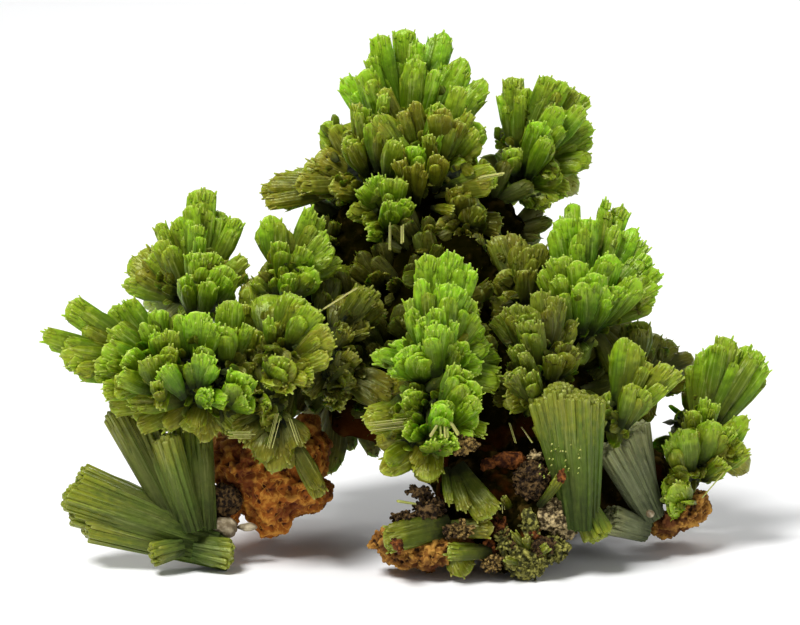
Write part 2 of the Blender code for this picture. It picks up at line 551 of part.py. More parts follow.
def combine(target, others, operation):
    """Joins or subtracts the other objects, then deletes them."""
    if not others:
        return
    operands = bpy.data.collections.new("operands")
    for other in others:
        operands.objects.link(other)
    modifier = target.modifiers.new(operation.title(), "BOOLEAN")
    modifier.operation = operation
    modifier.solver = "EXACT"
    modifier.operand_type = "COLLECTION"
    modifier.collection = operands
    bpy.context.view_layer.update()
    graph = bpy.context.evaluated_depsgraph_get()
    old = target.data
    target.data = bpy.data.meshes.new_from_object(target.evaluated_get(graph))
    target.modifiers.clear()
    bpy.data.meshes.remove(old)
    remove_objects(others)
    bpy.data.collections.remove(operands)


def remove_objects(objects):
    for obj in objects:
        mesh = obj.data
        bpy.data.objects.remove(obj)
        bpy.data.meshes.remove(mesh)


def box_of(obj):
    points = [vert.co for vert in obj.data.vertices]
    low = Vector([min(p[i] for p in points) for i in range(3)])
    high = Vector([max(p[i] for p in points) for i in range(3)])
    return low, high


def boxes_meet(a, b):
    return all(a[0][i] <= b[1][i] and b[0][i] <= a[1][i] for i in range(3))


def islands_of(bm):
    left = set(bm.faces)
    while left:
        stack = [left.pop()]
        island = list(stack)
        while stack:
            for edge in stack.pop().edges:
                for face in edge.link_faces:
                    if face in left:
                        left.remove(face)
                        stack.append(face)
                        island.append(face)
        yield island


def keep_largest_island(obj):
    """Loose chips that a cut leaves behind are dropped."""
    bm = bmesh.new()
    bm.from_mesh(obj.data)
    islands = sorted(islands_of(bm), key=lambda faces: sum(face.calc_area() for face in faces))
    for island in islands[:-1]:
        bmesh.ops.delete(bm, geom=island, context="FACES")
    loose = [vert for vert in bm.verts if not vert.link_faces]
    bmesh.ops.delete(bm, geom=loose, context="VERTS")
    bm.to_mesh(obj.data)
    bm.free()


def cut_flat_at_floor(obj):
    """The feet are worn flat where the specimen stands."""
    bm = bmesh.new()
    bm.from_mesh(obj.data)
    geometry = bm.verts[:] + bm.edges[:] + bm.faces[:]
    cut = bmesh.ops.bisect_plane(bm, geom=geometry, plane_co=(0, 0, 0), plane_no=(0, 0, -1), clear_outer=True)
    edges = [item for item in cut["geom_cut"] if isinstance(item, bmesh.types.BMEdge)]
    if edges:
        bmesh.ops.holes_fill(bm, edges=edges)
        bmesh.ops.recalc_face_normals(bm, faces=bm.faces)
    bm.to_mesh(obj.data)
    bm.free()


def merge_flat_faces(obj):
    """Faces that lie nearly in one plane become one."""
    bm = bmesh.new()
    bm.from_mesh(obj.data)
    bmesh.ops.dissolve_limit(bm, angle_limit=FLAT_ENOUGH, verts=bm.verts, edges=bm.edges)
    bm.to_mesh(obj.data)
    bm.free()


def finish_material(name, colour, roughness):
    material = bpy.data.materials.new(name)
    material.use_nodes = True
    principled = material.node_tree.nodes["Principled BSDF"]
    principled.inputs["Base Color"].default_value = (*colour, 1)
    principled.inputs["Roughness"].default_value = roughness
    principled.inputs["Metallic"].default_value = 0.0
    return material


def main():
    for obj in list(bpy.data.objects):
        bpy.data.objects.remove(obj)
    finished = []
    for name, shapes, pits, colour, roughness in PIECES:
        parts = shells(shapes, 0.0)
        piece = parts[0]
        combine(piece, parts[1:], "UNION")
        box = box_of(piece)
        cutters = [pit_cutter(pit, number) for number, pit in enumerate(pits)]
        for earlier in finished:
            grown = shells(earlier, CLEARANCE)
            near = [shell for shell in grown if boxes_meet(box_of(shell), box)]
            remove_objects([shell for shell in grown if shell not in near])
            cutters += near
        combine(piece, cutters, "DIFFERENCE")
        cut_flat_at_floor(piece)
        keep_largest_island(piece)
        merge_flat_faces(piece)
        piece.name = name
        piece.data.name = name
        piece.data.materials.clear()
        piece.data.materials.append(finish_material(name, colour, roughness))
        finished.append(shapes)


main()
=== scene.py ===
# %% [markdown]
# # A pyromorphite specimen, from solid model to picture
# The real thing is a clump of green lead phosphate crystals on rusty, spongy iron oxide.
# Each spray is a bunch of sheaves, and each sheaf is dozens of six-sided crystals that grew
# side by side. The solids of the frame give every spray its place and reach. This script
# grows the fine crystals over them, roughens the rock, and sets up a plain photo studio.

from collections import namedtuple
from math import cos, pi, radians, sin, sqrt

import bpy
import numpy as np
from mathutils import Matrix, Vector


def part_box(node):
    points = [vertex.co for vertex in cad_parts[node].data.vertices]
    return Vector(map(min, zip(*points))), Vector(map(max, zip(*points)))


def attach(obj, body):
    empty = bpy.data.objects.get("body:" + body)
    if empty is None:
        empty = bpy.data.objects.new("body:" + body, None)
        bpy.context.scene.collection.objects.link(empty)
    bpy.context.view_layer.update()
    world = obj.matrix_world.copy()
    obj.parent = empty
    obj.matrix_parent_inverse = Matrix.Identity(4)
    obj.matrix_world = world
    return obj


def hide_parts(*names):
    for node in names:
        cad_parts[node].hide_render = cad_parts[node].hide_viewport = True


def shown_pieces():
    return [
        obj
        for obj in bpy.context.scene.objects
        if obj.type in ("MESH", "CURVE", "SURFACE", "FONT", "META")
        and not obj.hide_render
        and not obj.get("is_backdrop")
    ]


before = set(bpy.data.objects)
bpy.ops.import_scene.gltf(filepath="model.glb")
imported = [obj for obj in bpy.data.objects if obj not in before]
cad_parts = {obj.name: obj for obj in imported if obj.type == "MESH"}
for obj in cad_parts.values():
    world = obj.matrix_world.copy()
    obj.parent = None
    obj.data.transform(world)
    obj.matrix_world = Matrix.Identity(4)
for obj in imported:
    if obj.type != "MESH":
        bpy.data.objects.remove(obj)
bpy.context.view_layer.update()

# %% [markdown]
# ## The camera
# The picture was taken from the front, a little above the specimen, with a long lens, so
# near and far parts are drawn at almost the same scale. A lens of 180 mm at 400 mm makes the
# frame 80 mm wide at the specimen. The places below are given as the camera sees them:
# across, up and near, in millimetres, and seen() turns them into the model's own frame.

# %% Camera and the way it sees
MM = 0.001
VIEW_TILT = radians(12)
VIEW_DISTANCE = 400
VIEW_MIDDLE_UP = 26.75
VIEW_MIDDLE = np.array((-1.22, -2.58, 24.3))
TOWARDS_VIEWER = np.array((0, -cos(VIEW_TILT), sin(VIEW_TILT)))
PICTURE_UP = np.array((0, sin(VIEW_TILT), cos(VIEW_TILT)))
LENS = 180
NEAREST_SEEN = 0.01


def seen(place):
    """Metres in the specimen's frame for a place given as across, up and near."""
    across, up, near = place
    in_picture = np.array((across, 0, 0)) + PICTURE_UP * (up - VIEW_MIDDLE_UP)
    return (VIEW_MIDDLE + in_picture * (1 - near / VIEW_DISTANCE) + TOWARDS_VIEWER * near) * MM


def deselect_all():
    if bpy.context.object and bpy.context.object.mode != "OBJECT":
        bpy.ops.object.mode_set(mode="OBJECT")
    bpy.ops.object.select_all(action="DESELECT")


deselect_all()
bpy.ops.object.camera_add(location=(VIEW_MIDDLE + TOWARDS_VIEWER * VIEW_DISTANCE) * MM)
camera = bpy.context.object
camera.rotation_mode = "QUATERNION"
camera.rotation_quaternion = Vector(-TOWARDS_VIEWER).to_track_quat("-Z", "Y")
camera.data.lens = LENS
camera.data.clip_start = NEAREST_SEEN
bpy.context.scene.camera = camera
print("camera at", [round(value, 3) for value in camera.location])

# %% [markdown]
# ## Node helpers
# Every finish below is built from the same few steps, so they get short names: start a
# finish, add a node with its settings, and mix, add or spread out values. An effect that
# several finishes share is a node group, which is a box with named inputs and outputs.

# %% Short names for shader nodes
MIX_SHARE, MIX_FIRST, MIX_SECOND, MIX_RESULT = 0, 6, 7, 2


def paint(red, green, blue):
    """A colour as a painter's 0 to 255 values, turned into the linear light that Blender mixes."""
    shares = np.array((red, green, blue)) / 255
    linear = np.where(shares <= 0.04045, shares / 12.92, ((shares + 0.055) / 1.055) ** 2.4)
    return (*linear, 1.0)


def set_inputs(tree, node, inputs):
    """Gives each input of a node its value, or joins it to the socket that is given for it."""
    for name, value in inputs.items():
        if isinstance(value, bpy.types.NodeSocket):
            tree.links.new(value, node.inputs[name])
        else:
            node.inputs[name].default_value = value


def add_node(tree, kind, settings=None, inputs=None):
    node = tree.nodes.new(kind)
    for name, value in (settings or {}).items():
        setattr(node, name, value)
    set_inputs(tree, node, inputs or {})
    return node


def new_finish(name):
    """A material, its node tree and its shader."""
    material = bpy.data.materials.new(name)
    material.use_nodes = True
    tree = material.node_tree
    return material, tree, tree.nodes["Principled BSDF"]


def mix_colours(tree, share, first, second):
    """First where share is 0 and second where it is 1."""
    node = add_node(tree, "ShaderNodeMix", {"data_type": "RGBA", "clamp_factor": True}, {
        MIX_SHARE: share, MIX_FIRST: first, MIX_SECOND: second,
    })
    return node.outputs[MIX_RESULT]


def sums(tree, operation, first, second=0.0, third=0.0):
    node = add_node(tree, "ShaderNodeMath", {"operation": operation}, {0: first, 1: second, 2: third})
    return node.outputs[0]


def waver(tree, value, clouds, strength, middle=0.5):
    """A value moved up and down by clouds, and left alone where they have their middle value."""
    return sums(tree, "MULTIPLY_ADD", clouds, strength, sums(tree, "ADD", value, -middle * strength))


def smooth_step(tree, value, low, high):
    """0 below low, 1 above high and an even curve between."""
    node = add_node(tree, "ShaderNodeMapRange", {"interpolation_type": "SMOOTHSTEP"},
                    {"Value": value, "From Min": low, "From Max": high})
    return node.outputs["Result"]


def noise(tree, place, scale, detail, stretch=(1, 1, 1)):
    """Cloudy values from 0 to 1, drawn out along the directions where stretch is small."""
    placed = add_node(tree, "ShaderNodeMapping", inputs={"Vector": place, "Scale": stretch})
    clouds = add_node(tree, "ShaderNodeTexNoise", inputs={
        "Vector": placed.outputs["Vector"], "Scale": scale, "Detail": detail,
    })
    return clouds.outputs["Fac"]


def attribute(tree, name, output="Fac"):
    """A value that the mesh carries at each of its points."""
    return add_node(tree, "ShaderNodeAttribute", {"attribute_name": name}).outputs[output]


def object_place(tree):
    """Where each point lies in the object's own frame, in metres."""
    return add_node(tree, "ShaderNodeTexCoord").outputs["Object"]


def bumps(tree, height, strength, distance):
    """Normals that make the surface look raised by up to the distance."""
    inputs = {"Height": height, "Strength": strength, "Distance": distance}
    return add_node(tree, "ShaderNodeBump", inputs=inputs).outputs["Normal"]


def new_group(name, inputs, outputs):
    """A shader node group, the sockets that it is given and the node that takes its results."""
    group = bpy.data.node_groups.new(name, "ShaderNodeTree")
    for socket, kind in inputs:
        group.interface.new_socket(name=socket, in_out="INPUT", socket_type=f"NodeSocket{kind}")
    for socket, kind in outputs:
        group.interface.new_socket(name=socket, in_out="OUTPUT", socket_type=f"NodeSocket{kind}")
    return group, group.nodes.new("NodeGroupInput").outputs, group.nodes.new("NodeGroupOutput")


print("middle grey in linear light:", [round(float(value), 3) for value in paint(128, 128, 128)])

# %% [markdown]
# ## Studio
# A pale floor and three large soft lamps keep the light plain: the key from the upper left
# front, a weaker fill from the right, and a lamp behind that makes the thin crystal tips
# glow. The world adds an even pale light, so that shadows stay soft.

# %% Floor, lamps and world
FLOOR_SIZE = 8.0
LAMP_AIM = Vector((0, 0, 0.025))
WORLD_LIGHT = 0.19


def soft_lamp(name, place, size, watts):
    deselect_all()
    bpy.ops.object.light_add(type="AREA", location=place)
    lamp = bpy.context.object
    lamp.name = name
    lamp.data.shape = "DISK"
    lamp.data.size = size
    lamp.data.energy = watts
    lamp.rotation_mode = "QUATERNION"
    lamp.rotation_quaternion = (LAMP_AIM - lamp.location).to_track_quat("-Z", "Y")


soft_lamp("key_lamp", (-0.26, -0.32, 0.6), size=0.26, watts=5.9)
soft_lamp("fill_lamp", (0.5, -0.4, 0.3), size=0.5, watts=0.9)
soft_lamp("rim_lamp", (0.1, 0.5, 0.5), size=0.4, watts=2.0)

world = bpy.data.worlds.new("pale_studio")
world.use_nodes = True
set_inputs(world.node_tree, world.node_tree.nodes["Background"], {
    "Color": paint(246, 248, 250), "Strength": WORLD_LIGHT,
})
bpy.context.scene.world = world
bpy.context.scene.view_settings.view_transform = "Standard"

deselect_all()
bpy.ops.mesh.primitive_plane_add(size=FLOOR_SIZE)
floor = bpy.context.object
floor.name = "studio_floor"
floor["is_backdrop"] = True
floor_paint, floor_tree, floor_shader = new_finish("pale_floor")
set_inputs(floor_tree, floor_shader, {"Base Color": paint(250, 250, 250), "Roughness": 0.9})
floor.data.materials.append(floor_paint)

# %% [markdown]
# ## Crystal finish
# Pyromorphite is a resinous, shiny green. A crystal is dark bottle green where it is rooted,
# which is painted shade for the depth of the spray, saturated green along its length and
# yellow-green at its tip, with a painted pale highlight on its end. Some sheaves are olive
# instead. Pale streaks on the outer fibres are painted glints. The mesh carries what the
# finish needs as attributes: how far along a crystal is, how bright its sheaf is, how much
# painted glint it has, and a grain that runs lengthwise. Painting this by height alone would
# be simpler, but sheaves point every way.

# %% Node group: colours of growing crystal
STREAK_STRETCH = (1.6, 1.6, 0.14)
FIBRE_STRETCH = (1.6, 1.6, 0.05)
PATCH_MIDDLE = 0.6
FIBRE_GLINT_SHARE = 0.22
DARK_LINES = 0.28
TIP_GLINT_SHARE = 0.3


def crystal_growth_group():
    group, given, result = new_group(
        "Crystal growth",
        [("Along", "Float"), ("Tone", "Float"), ("Frost", "Float"), ("Grain", "Vector"), ("Place", "Vector"),
         ("Root", "Color"), ("Body", "Color"), ("Tip", "Color"),
         ("Olive shaded root", "Color"), ("Olive body", "Color"), ("Olive tip", "Color"), ("Glint colour", "Color")],
        [("Colour", "Color"), ("Roughness", "Float"), ("Height", "Float")],
    )
    streaks = noise(group, given["Grain"], 1.6, 3.0, STREAK_STRETCH)
    fibres = noise(group, given["Grain"], 3.4, 2.0, FIBRE_STRETCH)
    patches = noise(group, given["Place"], 190.0, 3.0)
    mottle = noise(group, given["Place"], 1500.0, 3.0)
    along = waver(group, waver(group, given["Along"], streaks, 0.24), mottle, 0.5)
    tone = waver(group, given["Tone"], patches, 1.5, PATCH_MIDDLE)
    # Colour runs from the shaded root to the tip: the dark root colour is painted shade for the depth of the
    # spray.
    to_body = smooth_step(group, along, 0.05, 0.62)
    to_tip = smooth_step(group, along, 0.6, 1.0)

    def root_to_tip(root, body, tip):
        return mix_colours(group, to_tip, mix_colours(group, to_body, given[root], given[body]), given[tip])

    colour = mix_colours(group, tone, root_to_tip("Olive shaded root", "Olive body", "Olive tip"),
                         root_to_tip("Root", "Body", "Tip"))
    # Pale lines on the outer fibres are painted glints. Dark lines in the shaded root colour are partly grain
    # and partly painted shade in the grooves.
    glinting_fibres = sums(group, "MULTIPLY", smooth_step(group, fibres, 0.56, 0.7),
                        smooth_step(group, along, 0.2, 0.8))
    colour = mix_colours(group, sums(group, "MULTIPLY", glinting_fibres, FIBRE_GLINT_SHARE), colour, given["Glint colour"])
    dark_lines = sums(group, "MULTIPLY", smooth_step(group, fibres, 0.46, 0.34), DARK_LINES)
    colour = mix_colours(group, dark_lines, colour, given["Root"])
    # The pale crown top, where along is near 1, is a painted highlight.
    rim = sums(group, "MULTIPLY", smooth_step(group, given["Along"], 0.93, 1.0), TIP_GLINT_SHARE)
    colour = mix_colours(group, rim, colour, given["Glint colour"])
    rough = add_node(group, "ShaderNodeMapRange", inputs={
        "Value": given["Along"], "From Min": 0.0, "From Max": 0.8, "To Min": 0.8, "To Max": 0.3,
    })
    # The glint share paints the colour towards the glint colour: a painted glint.
    set_inputs(group, result, {
        "Colour": mix_colours(group, given["Frost"], colour, given["Glint colour"]),
        "Roughness": waver(group, rough.outputs["Result"], streaks, 0.2),
        "Height": sums(group, "MULTIPLY_ADD", mottle, 1.2, fibres),
    })
    return group


crystal_growth = crystal_growth_group()
print("sockets of the crystal growth group:", len(crystal_growth.interface.items_tree))

# %% [markdown]
# ## The green finishes
# Four greens are enough: a bright one, an olive one, a bluish one for the trunk and the stalks,
# and a grey-green one for the dull stalks beside the trunk. Each is a set of colours for the
# group above. A near-black gritty crust on what shows of the heart of a spray is painted shade.

# %% Crystal finishes and crust
GROWTH_COLOURS = ("Root", "Body", "Tip", "Olive shaded root", "Olive body", "Olive tip", "Glint colour")


def crystal_finish(name, colours, subsurface=0.35):
    """A crystal material. colours holds root (painted shade), body and tip, the same three in olive, and the
    painted glint colour.
    """
    material, tree, shader = new_finish(name)
    growth = add_node(tree, "ShaderNodeGroup", {"node_tree": crystal_growth}, {
        "Along": attribute(tree, "along"),
        "Tone": attribute(tree, "tone"),
        "Frost": attribute(tree, "frost"),
        "Grain": attribute(tree, "grain", "Vector"),
        "Place": object_place(tree),
        **{part: paint(*colour) for part, colour in zip(GROWTH_COLOURS, colours)},
    })
    set_inputs(tree, shader, {
        "Base Color": growth.outputs["Colour"],
        "Roughness": growth.outputs["Roughness"],
        "Normal": bumps(tree, growth.outputs["Height"], strength=0.7, distance=0.00012),
        "IOR": 1.5,
        "Specular IOR Level": 0.4,
        "Specular Tint": paint(236, 244, 176),
        "Subsurface Weight": subsurface,
        "Subsurface Radius": (0.5, 1.0, 0.15),
        "Subsurface Scale": 0.0012,
    })
    return material


yellow_green = crystal_finish("bright_crystal_growth", (
    (12, 30, 1), (76, 116, 4), (140, 190, 30), (24, 30, 2), (84, 86, 8), (138, 136, 34), (206, 216, 124)))
olive_green = crystal_finish("olive_crystal_growth", (
    (12, 22, 1), (66, 86, 5), (116, 140, 26), (18, 20, 2), (66, 66, 7), (114, 110, 28), (190, 194, 112)))
bluish_green = crystal_finish("bluish_crystal_growth", (
    (28, 54, 8), (74, 103, 22), (134, 144, 26), (46, 54, 20), (84, 92, 38), (120, 122, 44),
    (184, 192, 118)), subsurface=0.2)
grey_green = crystal_finish("greyish_crystal_growth", (
    (44, 56, 30), (92, 106, 66), (140, 146, 90), (60, 66, 46), (104, 110, 78), (140, 142, 96),
    (190, 196, 160)), subsurface=0.1)


def crust_finish(name, dark, light, spot_scale=1400.0, roughness=0.7):
    """A dull, gritty material that wavers between two colours."""
    material, tree, shader = new_finish(name)
    grit = noise(tree, object_place(tree), spot_scale, 3.0)
    set_inputs(tree, shader, {
        "Base Color": mix_colours(tree, smooth_step(tree, grit, 0.4, 0.65), paint(*dark), paint(*light)),
        "Normal": bumps(tree, grit, strength=1.0, distance=0.0006),
        "Roughness": roughness,
        "Specular IOR Level": 0.15,
    })
    return material


# Near-black crust for what shows of the heart of a spray: painted shade.
painted_shade_crust = crust_finish("painted_shade_crust", (8, 14, 2), (44, 54, 8))
greens = (yellow_green, olive_green, bluish_green, grey_green)
print("green finishes:", [green.name for green in greens], "and", painted_shade_crust.name)

# %% [markdown]
# ## One crystal, one tooth and one spike
# A pyromorphite crystal is a hexagonal prism that widens towards its end, with its end edges
# blunted. It is modelled once, one unit wide and one long: a six-sided cylinder whose top is
# inset and pushed up. The small teeth of a crown get a simpler form with a raised middle
# point, and those further back a plain spike, because there are thousands of them. All the
# small green crystals are copied from these three.

# %% Model the crystal, the tooth and the spike
BLUNT = 0.2
CAP = 0.22
FACES_UP = 0.9
NEAR_TOP = 0.9
NEAR_AXIS = 0.1
Form = namedtuple("Form", "points corners starts")


def select_top_faces(obj):
    bpy.ops.object.mode_set(mode="EDIT")
    bpy.ops.mesh.select_mode(type="FACE")
    bpy.ops.mesh.select_all(action="DESELECT")
    bpy.ops.object.mode_set(mode="OBJECT")
    for face in obj.data.polygons:
        face.select = face.normal.z > FACES_UP
    bpy.ops.object.mode_set(mode="EDIT")


def read_form(obj):
    """The mesh of an object as arrays, and the object removed."""
    mesh = obj.data
    form = Form(np.array([vert.co[:] for vert in mesh.vertices]),
                np.array([loop.vertex_index for loop in mesh.loops]),
                np.array([face.loop_start for face in mesh.polygons]))
    bpy.data.objects.remove(obj)
    return form


deselect_all()
bpy.ops.mesh.primitive_cylinder_add(vertices=6, radius=0.5, depth=1.0, location=(0, 0, 0.5))
bpy.ops.object.transform_apply(location=True, rotation=False, scale=False)
select_top_faces(bpy.context.object)
bpy.ops.mesh.inset(thickness=BLUNT)
bpy.ops.transform.translate(value=(0, 0, CAP))
bpy.ops.object.mode_set(mode="OBJECT")
CRYSTAL = read_form(bpy.context.object)

deselect_all()
bpy.ops.mesh.primitive_cylinder_add(
    vertices=6, radius=0.5, depth=1.0, location=(0, 0, 0.5), end_fill_type="TRIFAN")
bpy.ops.object.transform_apply(location=True, rotation=False, scale=False)
for vert in bpy.context.object.data.vertices:
    if vert.co.z > NEAR_TOP and vert.co.xy.length < NEAR_AXIS:
        vert.co.z += CAP
TOOTH = read_form(bpy.context.object)

deselect_all()
bpy.ops.mesh.primitive_cone_add(vertices=6, radius1=0.5, radius2=0.0, depth=1.0, location=(0, 0, 0.5))
bpy.ops.object.transform_apply(location=True, rotation=False, scale=False)
SPIKE = read_form(bpy.context.object)
print("points of crystal, tooth and spike:", len(CRYSTAL.points), len(TOOTH.points), len(SPIKE.points))

# %% [markdown]
# ## Many crystals as one mesh
# Tens of thousands of separate objects would be slow, so the crystals of a spray are written
# into one mesh from arrays. A bunch keeps, for each crystal, where it starts and ends, its
# widths, and the values that its finish reads.

# %% Bunches and the mesh made from them
Bunch = namedtuple("Bunch", "base end base_width end_width tone from_along to_along frost")
UPRIGHT = 0.9
CRYSTAL_FLATNESS = (0.75, 1.0)
END_SLOPE = 0.35
GRAIN_ROOM = 50


def join_bunches(bunches):
    return Bunch(*(np.concatenate(column) for column in zip(*bunches)))


def unit(vectors):
    return vectors / np.maximum(np.linalg.norm(vectors, axis=-1, keepdims=True), 1e-12)


def crystal_arrays(bunch, form, seed):
    """Points, corners, face starts and attributes for all the crystals of a bunch."""
    draw = np.random.default_rng(seed)
    count = len(bunch.base)
    axis = bunch.end - bunch.base
    length = np.linalg.norm(axis, axis=1)
    axis = unit(axis)
    helper = np.where(np.abs(axis[:, 2:]) < UPRIGHT, (0.0, 0.0, 1.0), (1.0, 0.0, 0.0))
    side = unit(np.cross(axis, helper))
    deep = np.cross(axis, side)
    spin = draw.uniform(0, pi / 3, count)[:, None]
    side, deep = side * np.cos(spin) + deep * np.sin(spin), deep * np.cos(spin) - side * np.sin(spin)
    flat = draw.uniform(*CRYSTAL_FLATNESS, count)
    rise = np.minimum(form.points[:, 2], 1.0)
    cap = form.points[:, 2] - rise
    width = bunch.base_width[:, None] + (bunch.end_width - bunch.base_width)[:, None] * rise
    x = form.points[:, 0] * width
    y = form.points[:, 1] * width * flat[:, None]
    at_end = rise > 0.5
    slope = draw.uniform(-END_SLOPE, END_SLOPE, count)[:, None] * at_end * x
    z = rise * length[:, None] + (cap - CAP) * bunch.end_width[:, None] * at_end + slope
    points = (bunch.base[:, None] + side[:, None] * x[..., None] + deep[:, None] * y[..., None]
              + axis[:, None] * z[..., None])
    along = bunch.from_along[:, None] + (bunch.to_along - bunch.from_along)[:, None] * rise
    grain = np.stack((x, y, np.broadcast_to(z, x.shape)), axis=-1) / MM
    grain[..., :2] += draw.uniform(0, GRAIN_ROOM, (count, 1, 2))
    size, loops = len(form.points), len(form.corners)
    corners = (form.corners + size * np.arange(count)[:, None]).ravel()
    starts = (form.starts + loops * np.arange(count)[:, None]).ravel()
    spread = np.ones((1, size))
    return {
        "points": points.reshape(-1, 3), "corners": corners, "starts": starts,
        "along": along.ravel(), "tone": (bunch.tone[:, None] * spread).ravel(),
        "frost": (bunch.frost[:, None] * spread).ravel(), "grain": grain.reshape(-1, 3),
        "smooth": np.zeros(len(starts), bool),
    }


def mesh_from_arrays(name, parts):
    """One object from several sets of arrays, cut flat at floor level, with its attributes."""
    point_shift = np.cumsum([0] + [len(part["points"]) for part in parts])
    corner_shift = np.cumsum([0] + [len(part["corners"]) for part in parts])
    mesh = bpy.data.meshes.new(name)
    mesh.vertices.add(point_shift[-1])
    mesh.loops.add(corner_shift[-1])
    mesh.polygons.add(sum(len(part["starts"]) for part in parts))
    points = np.concatenate([part["points"] for part in parts])
    points[:, 2] = np.maximum(points[:, 2], 0)
    mesh.vertices.foreach_set("co", points.ravel())
    mesh.loops.foreach_set("vertex_index", np.concatenate(
        [part["corners"] + shift for part, shift in zip(parts, point_shift)]))
    mesh.polygons.foreach_set("loop_start", np.concatenate(
        [part["starts"] + shift for part, shift in zip(parts, corner_shift)]))
    mesh.update(calc_edges=True)
    mesh.polygons.foreach_set("use_smooth", np.concatenate([part["smooth"] for part in parts]))
    mesh.polygons.foreach_set("material_index", np.concatenate(
        [np.full(len(part["starts"]), part.get("finish", 0), np.int32) for part in parts]))
    for key in ("along", "tone", "frost", "grain"):
        kind, field = ("FLOAT_VECTOR", "vector") if key == "grain" else ("FLOAT", "value")
        values = np.concatenate([part[key] for part in parts]).astype(np.float32).ravel()
        mesh.attributes.new(key, kind, "POINT").data.foreach_set(field, values)
    mesh.validate()
    obj = bpy.data.objects.new(name, mesh)
    bpy.context.scene.collection.objects.link(obj)
    return obj


# %% [markdown]
# ## One sheaf
# A sheaf is a flat, fluted petal that narrows to its root. Its crown is scalloped into lobes
# and has a notched rim set with small teeth, the ends of its crystals. The flank is a stack
# of oval rings with lengthwise flutes, bowed a little, and the teeth are copies of the one
# modelled above. Random values come from a seed, so the script gives the same specimen each
# time. A sheaf in plain view gets a fine form, one behind it a plain form, and the short
# ones that crust the surfaces a tiny form. The round form is the core of a stalk.

# %% Grow a sheaf
Detail = namedtuple("Detail", "segments sides crowns tooth_gap")
FINE = Detail(28, (0.0, 0.35, 0.68, 0.88, 1.0), (0.8, 0.42), 0.44 * MM)
PLAIN = Detail(14, (0.0, 0.4, 0.75, 1.0), (0.6,), 0.67 * MM)
TINY = Detail(8, (0.1, 0.7, 1.0), (0.5,), None)
ROUND = Detail(24, (0.0, 0.35, 0.7, 0.9, 1.0), (0.7,), None)
END_ON = 0.25
SHOULDER = (0.12, 0.46)
RIM_WIDTH = (0.72, 1.04)
WIDEST = 0.72
ROOT_WIDTH = 0.36
LOBES = (3, 6)
LOBE_DEPTH = 0.13
LOBE_DIP = 0.15
DEEPEST_DIP = 0.5
RIM_THINNING = 0.4
ROUND_THINNING = 0.1
ROUND_LOBE_DEPTH = 0.05
ROUND_LOBE_DIP = 0.03
ROUND_BOW = 0.4
FLUTE_DEPTH = 0.05
NOTCH = 0.3 * MM
ROUGH_CROWN = 0.07 * MM
BOW = 0.1
FLANK_ALONG = 0.9
CROWN_ALONG = 0.97
CROWN_EDGE_DARKER = 0.05
TOOTH_WIDTH = (0.26 * MM, 0.5 * MM)
TOOTH_TAPER = 0.5
TOOTH_LENGTH = 0.8 * MM
TOOTH_STEP = (0.12 * MM, 0.52 * MM)
TOOTH_SPLAY = 0.2
TOOTH_FROM_ALONG = 0.8
TOOTH_RING = 0.95
INNER_RINGS = (0.2, 0.75)
FEWEST_TEETH = 4
TONE_SWAY = 0.16
TOOTH_TONE_SWAY = 0.1


def across_and_deep(root, tip):
    """The way along a sheaf and two at right angles: one in the picture, one away from it."""
    axis = unit(tip - root)
    side = np.cross(axis, TOWARDS_VIEWER)
    if np.linalg.norm(side) < END_ON:
        side = np.cross(axis, PICTURE_UP)
    side = unit(side)
    return axis, side, np.cross(side, axis)


def ring_faces(segments, rings):
    """Corners and face starts for a stack of rings that is closed by a point at each end."""
    here = np.arange(segments)
    after = (here + 1) % segments
    quads = [np.stack((here + r * segments, after + r * segments, after + (r + 1) * segments,
                       here + (r + 1) * segments), axis=1) for r in range(rings - 1)]
    last = (rings - 1) * segments
    low_point, high_point = rings * segments, rings * segments + 1
    low = np.stack((after, here, np.full(segments, low_point)), axis=1)
    high = np.stack((here + last, after + last, np.full(segments, high_point)), axis=1)
    corners = np.concatenate((np.concatenate(quads).ravel(), low.ravel(), high.ravel()))
    sizes = np.concatenate((np.full(segments * (rings - 1), 4), np.full(segments * 2, 3)))
    return corners, np.concatenate(([0], np.cumsum(sizes)[:-1]))


def bunch_of(rows):
    """A bunch from rows of base, end, base width, end width, tone, from along, to along."""
    columns = [np.array(column) for column in zip(*rows)]
    return Bunch(*columns, np.zeros(len(rows)))


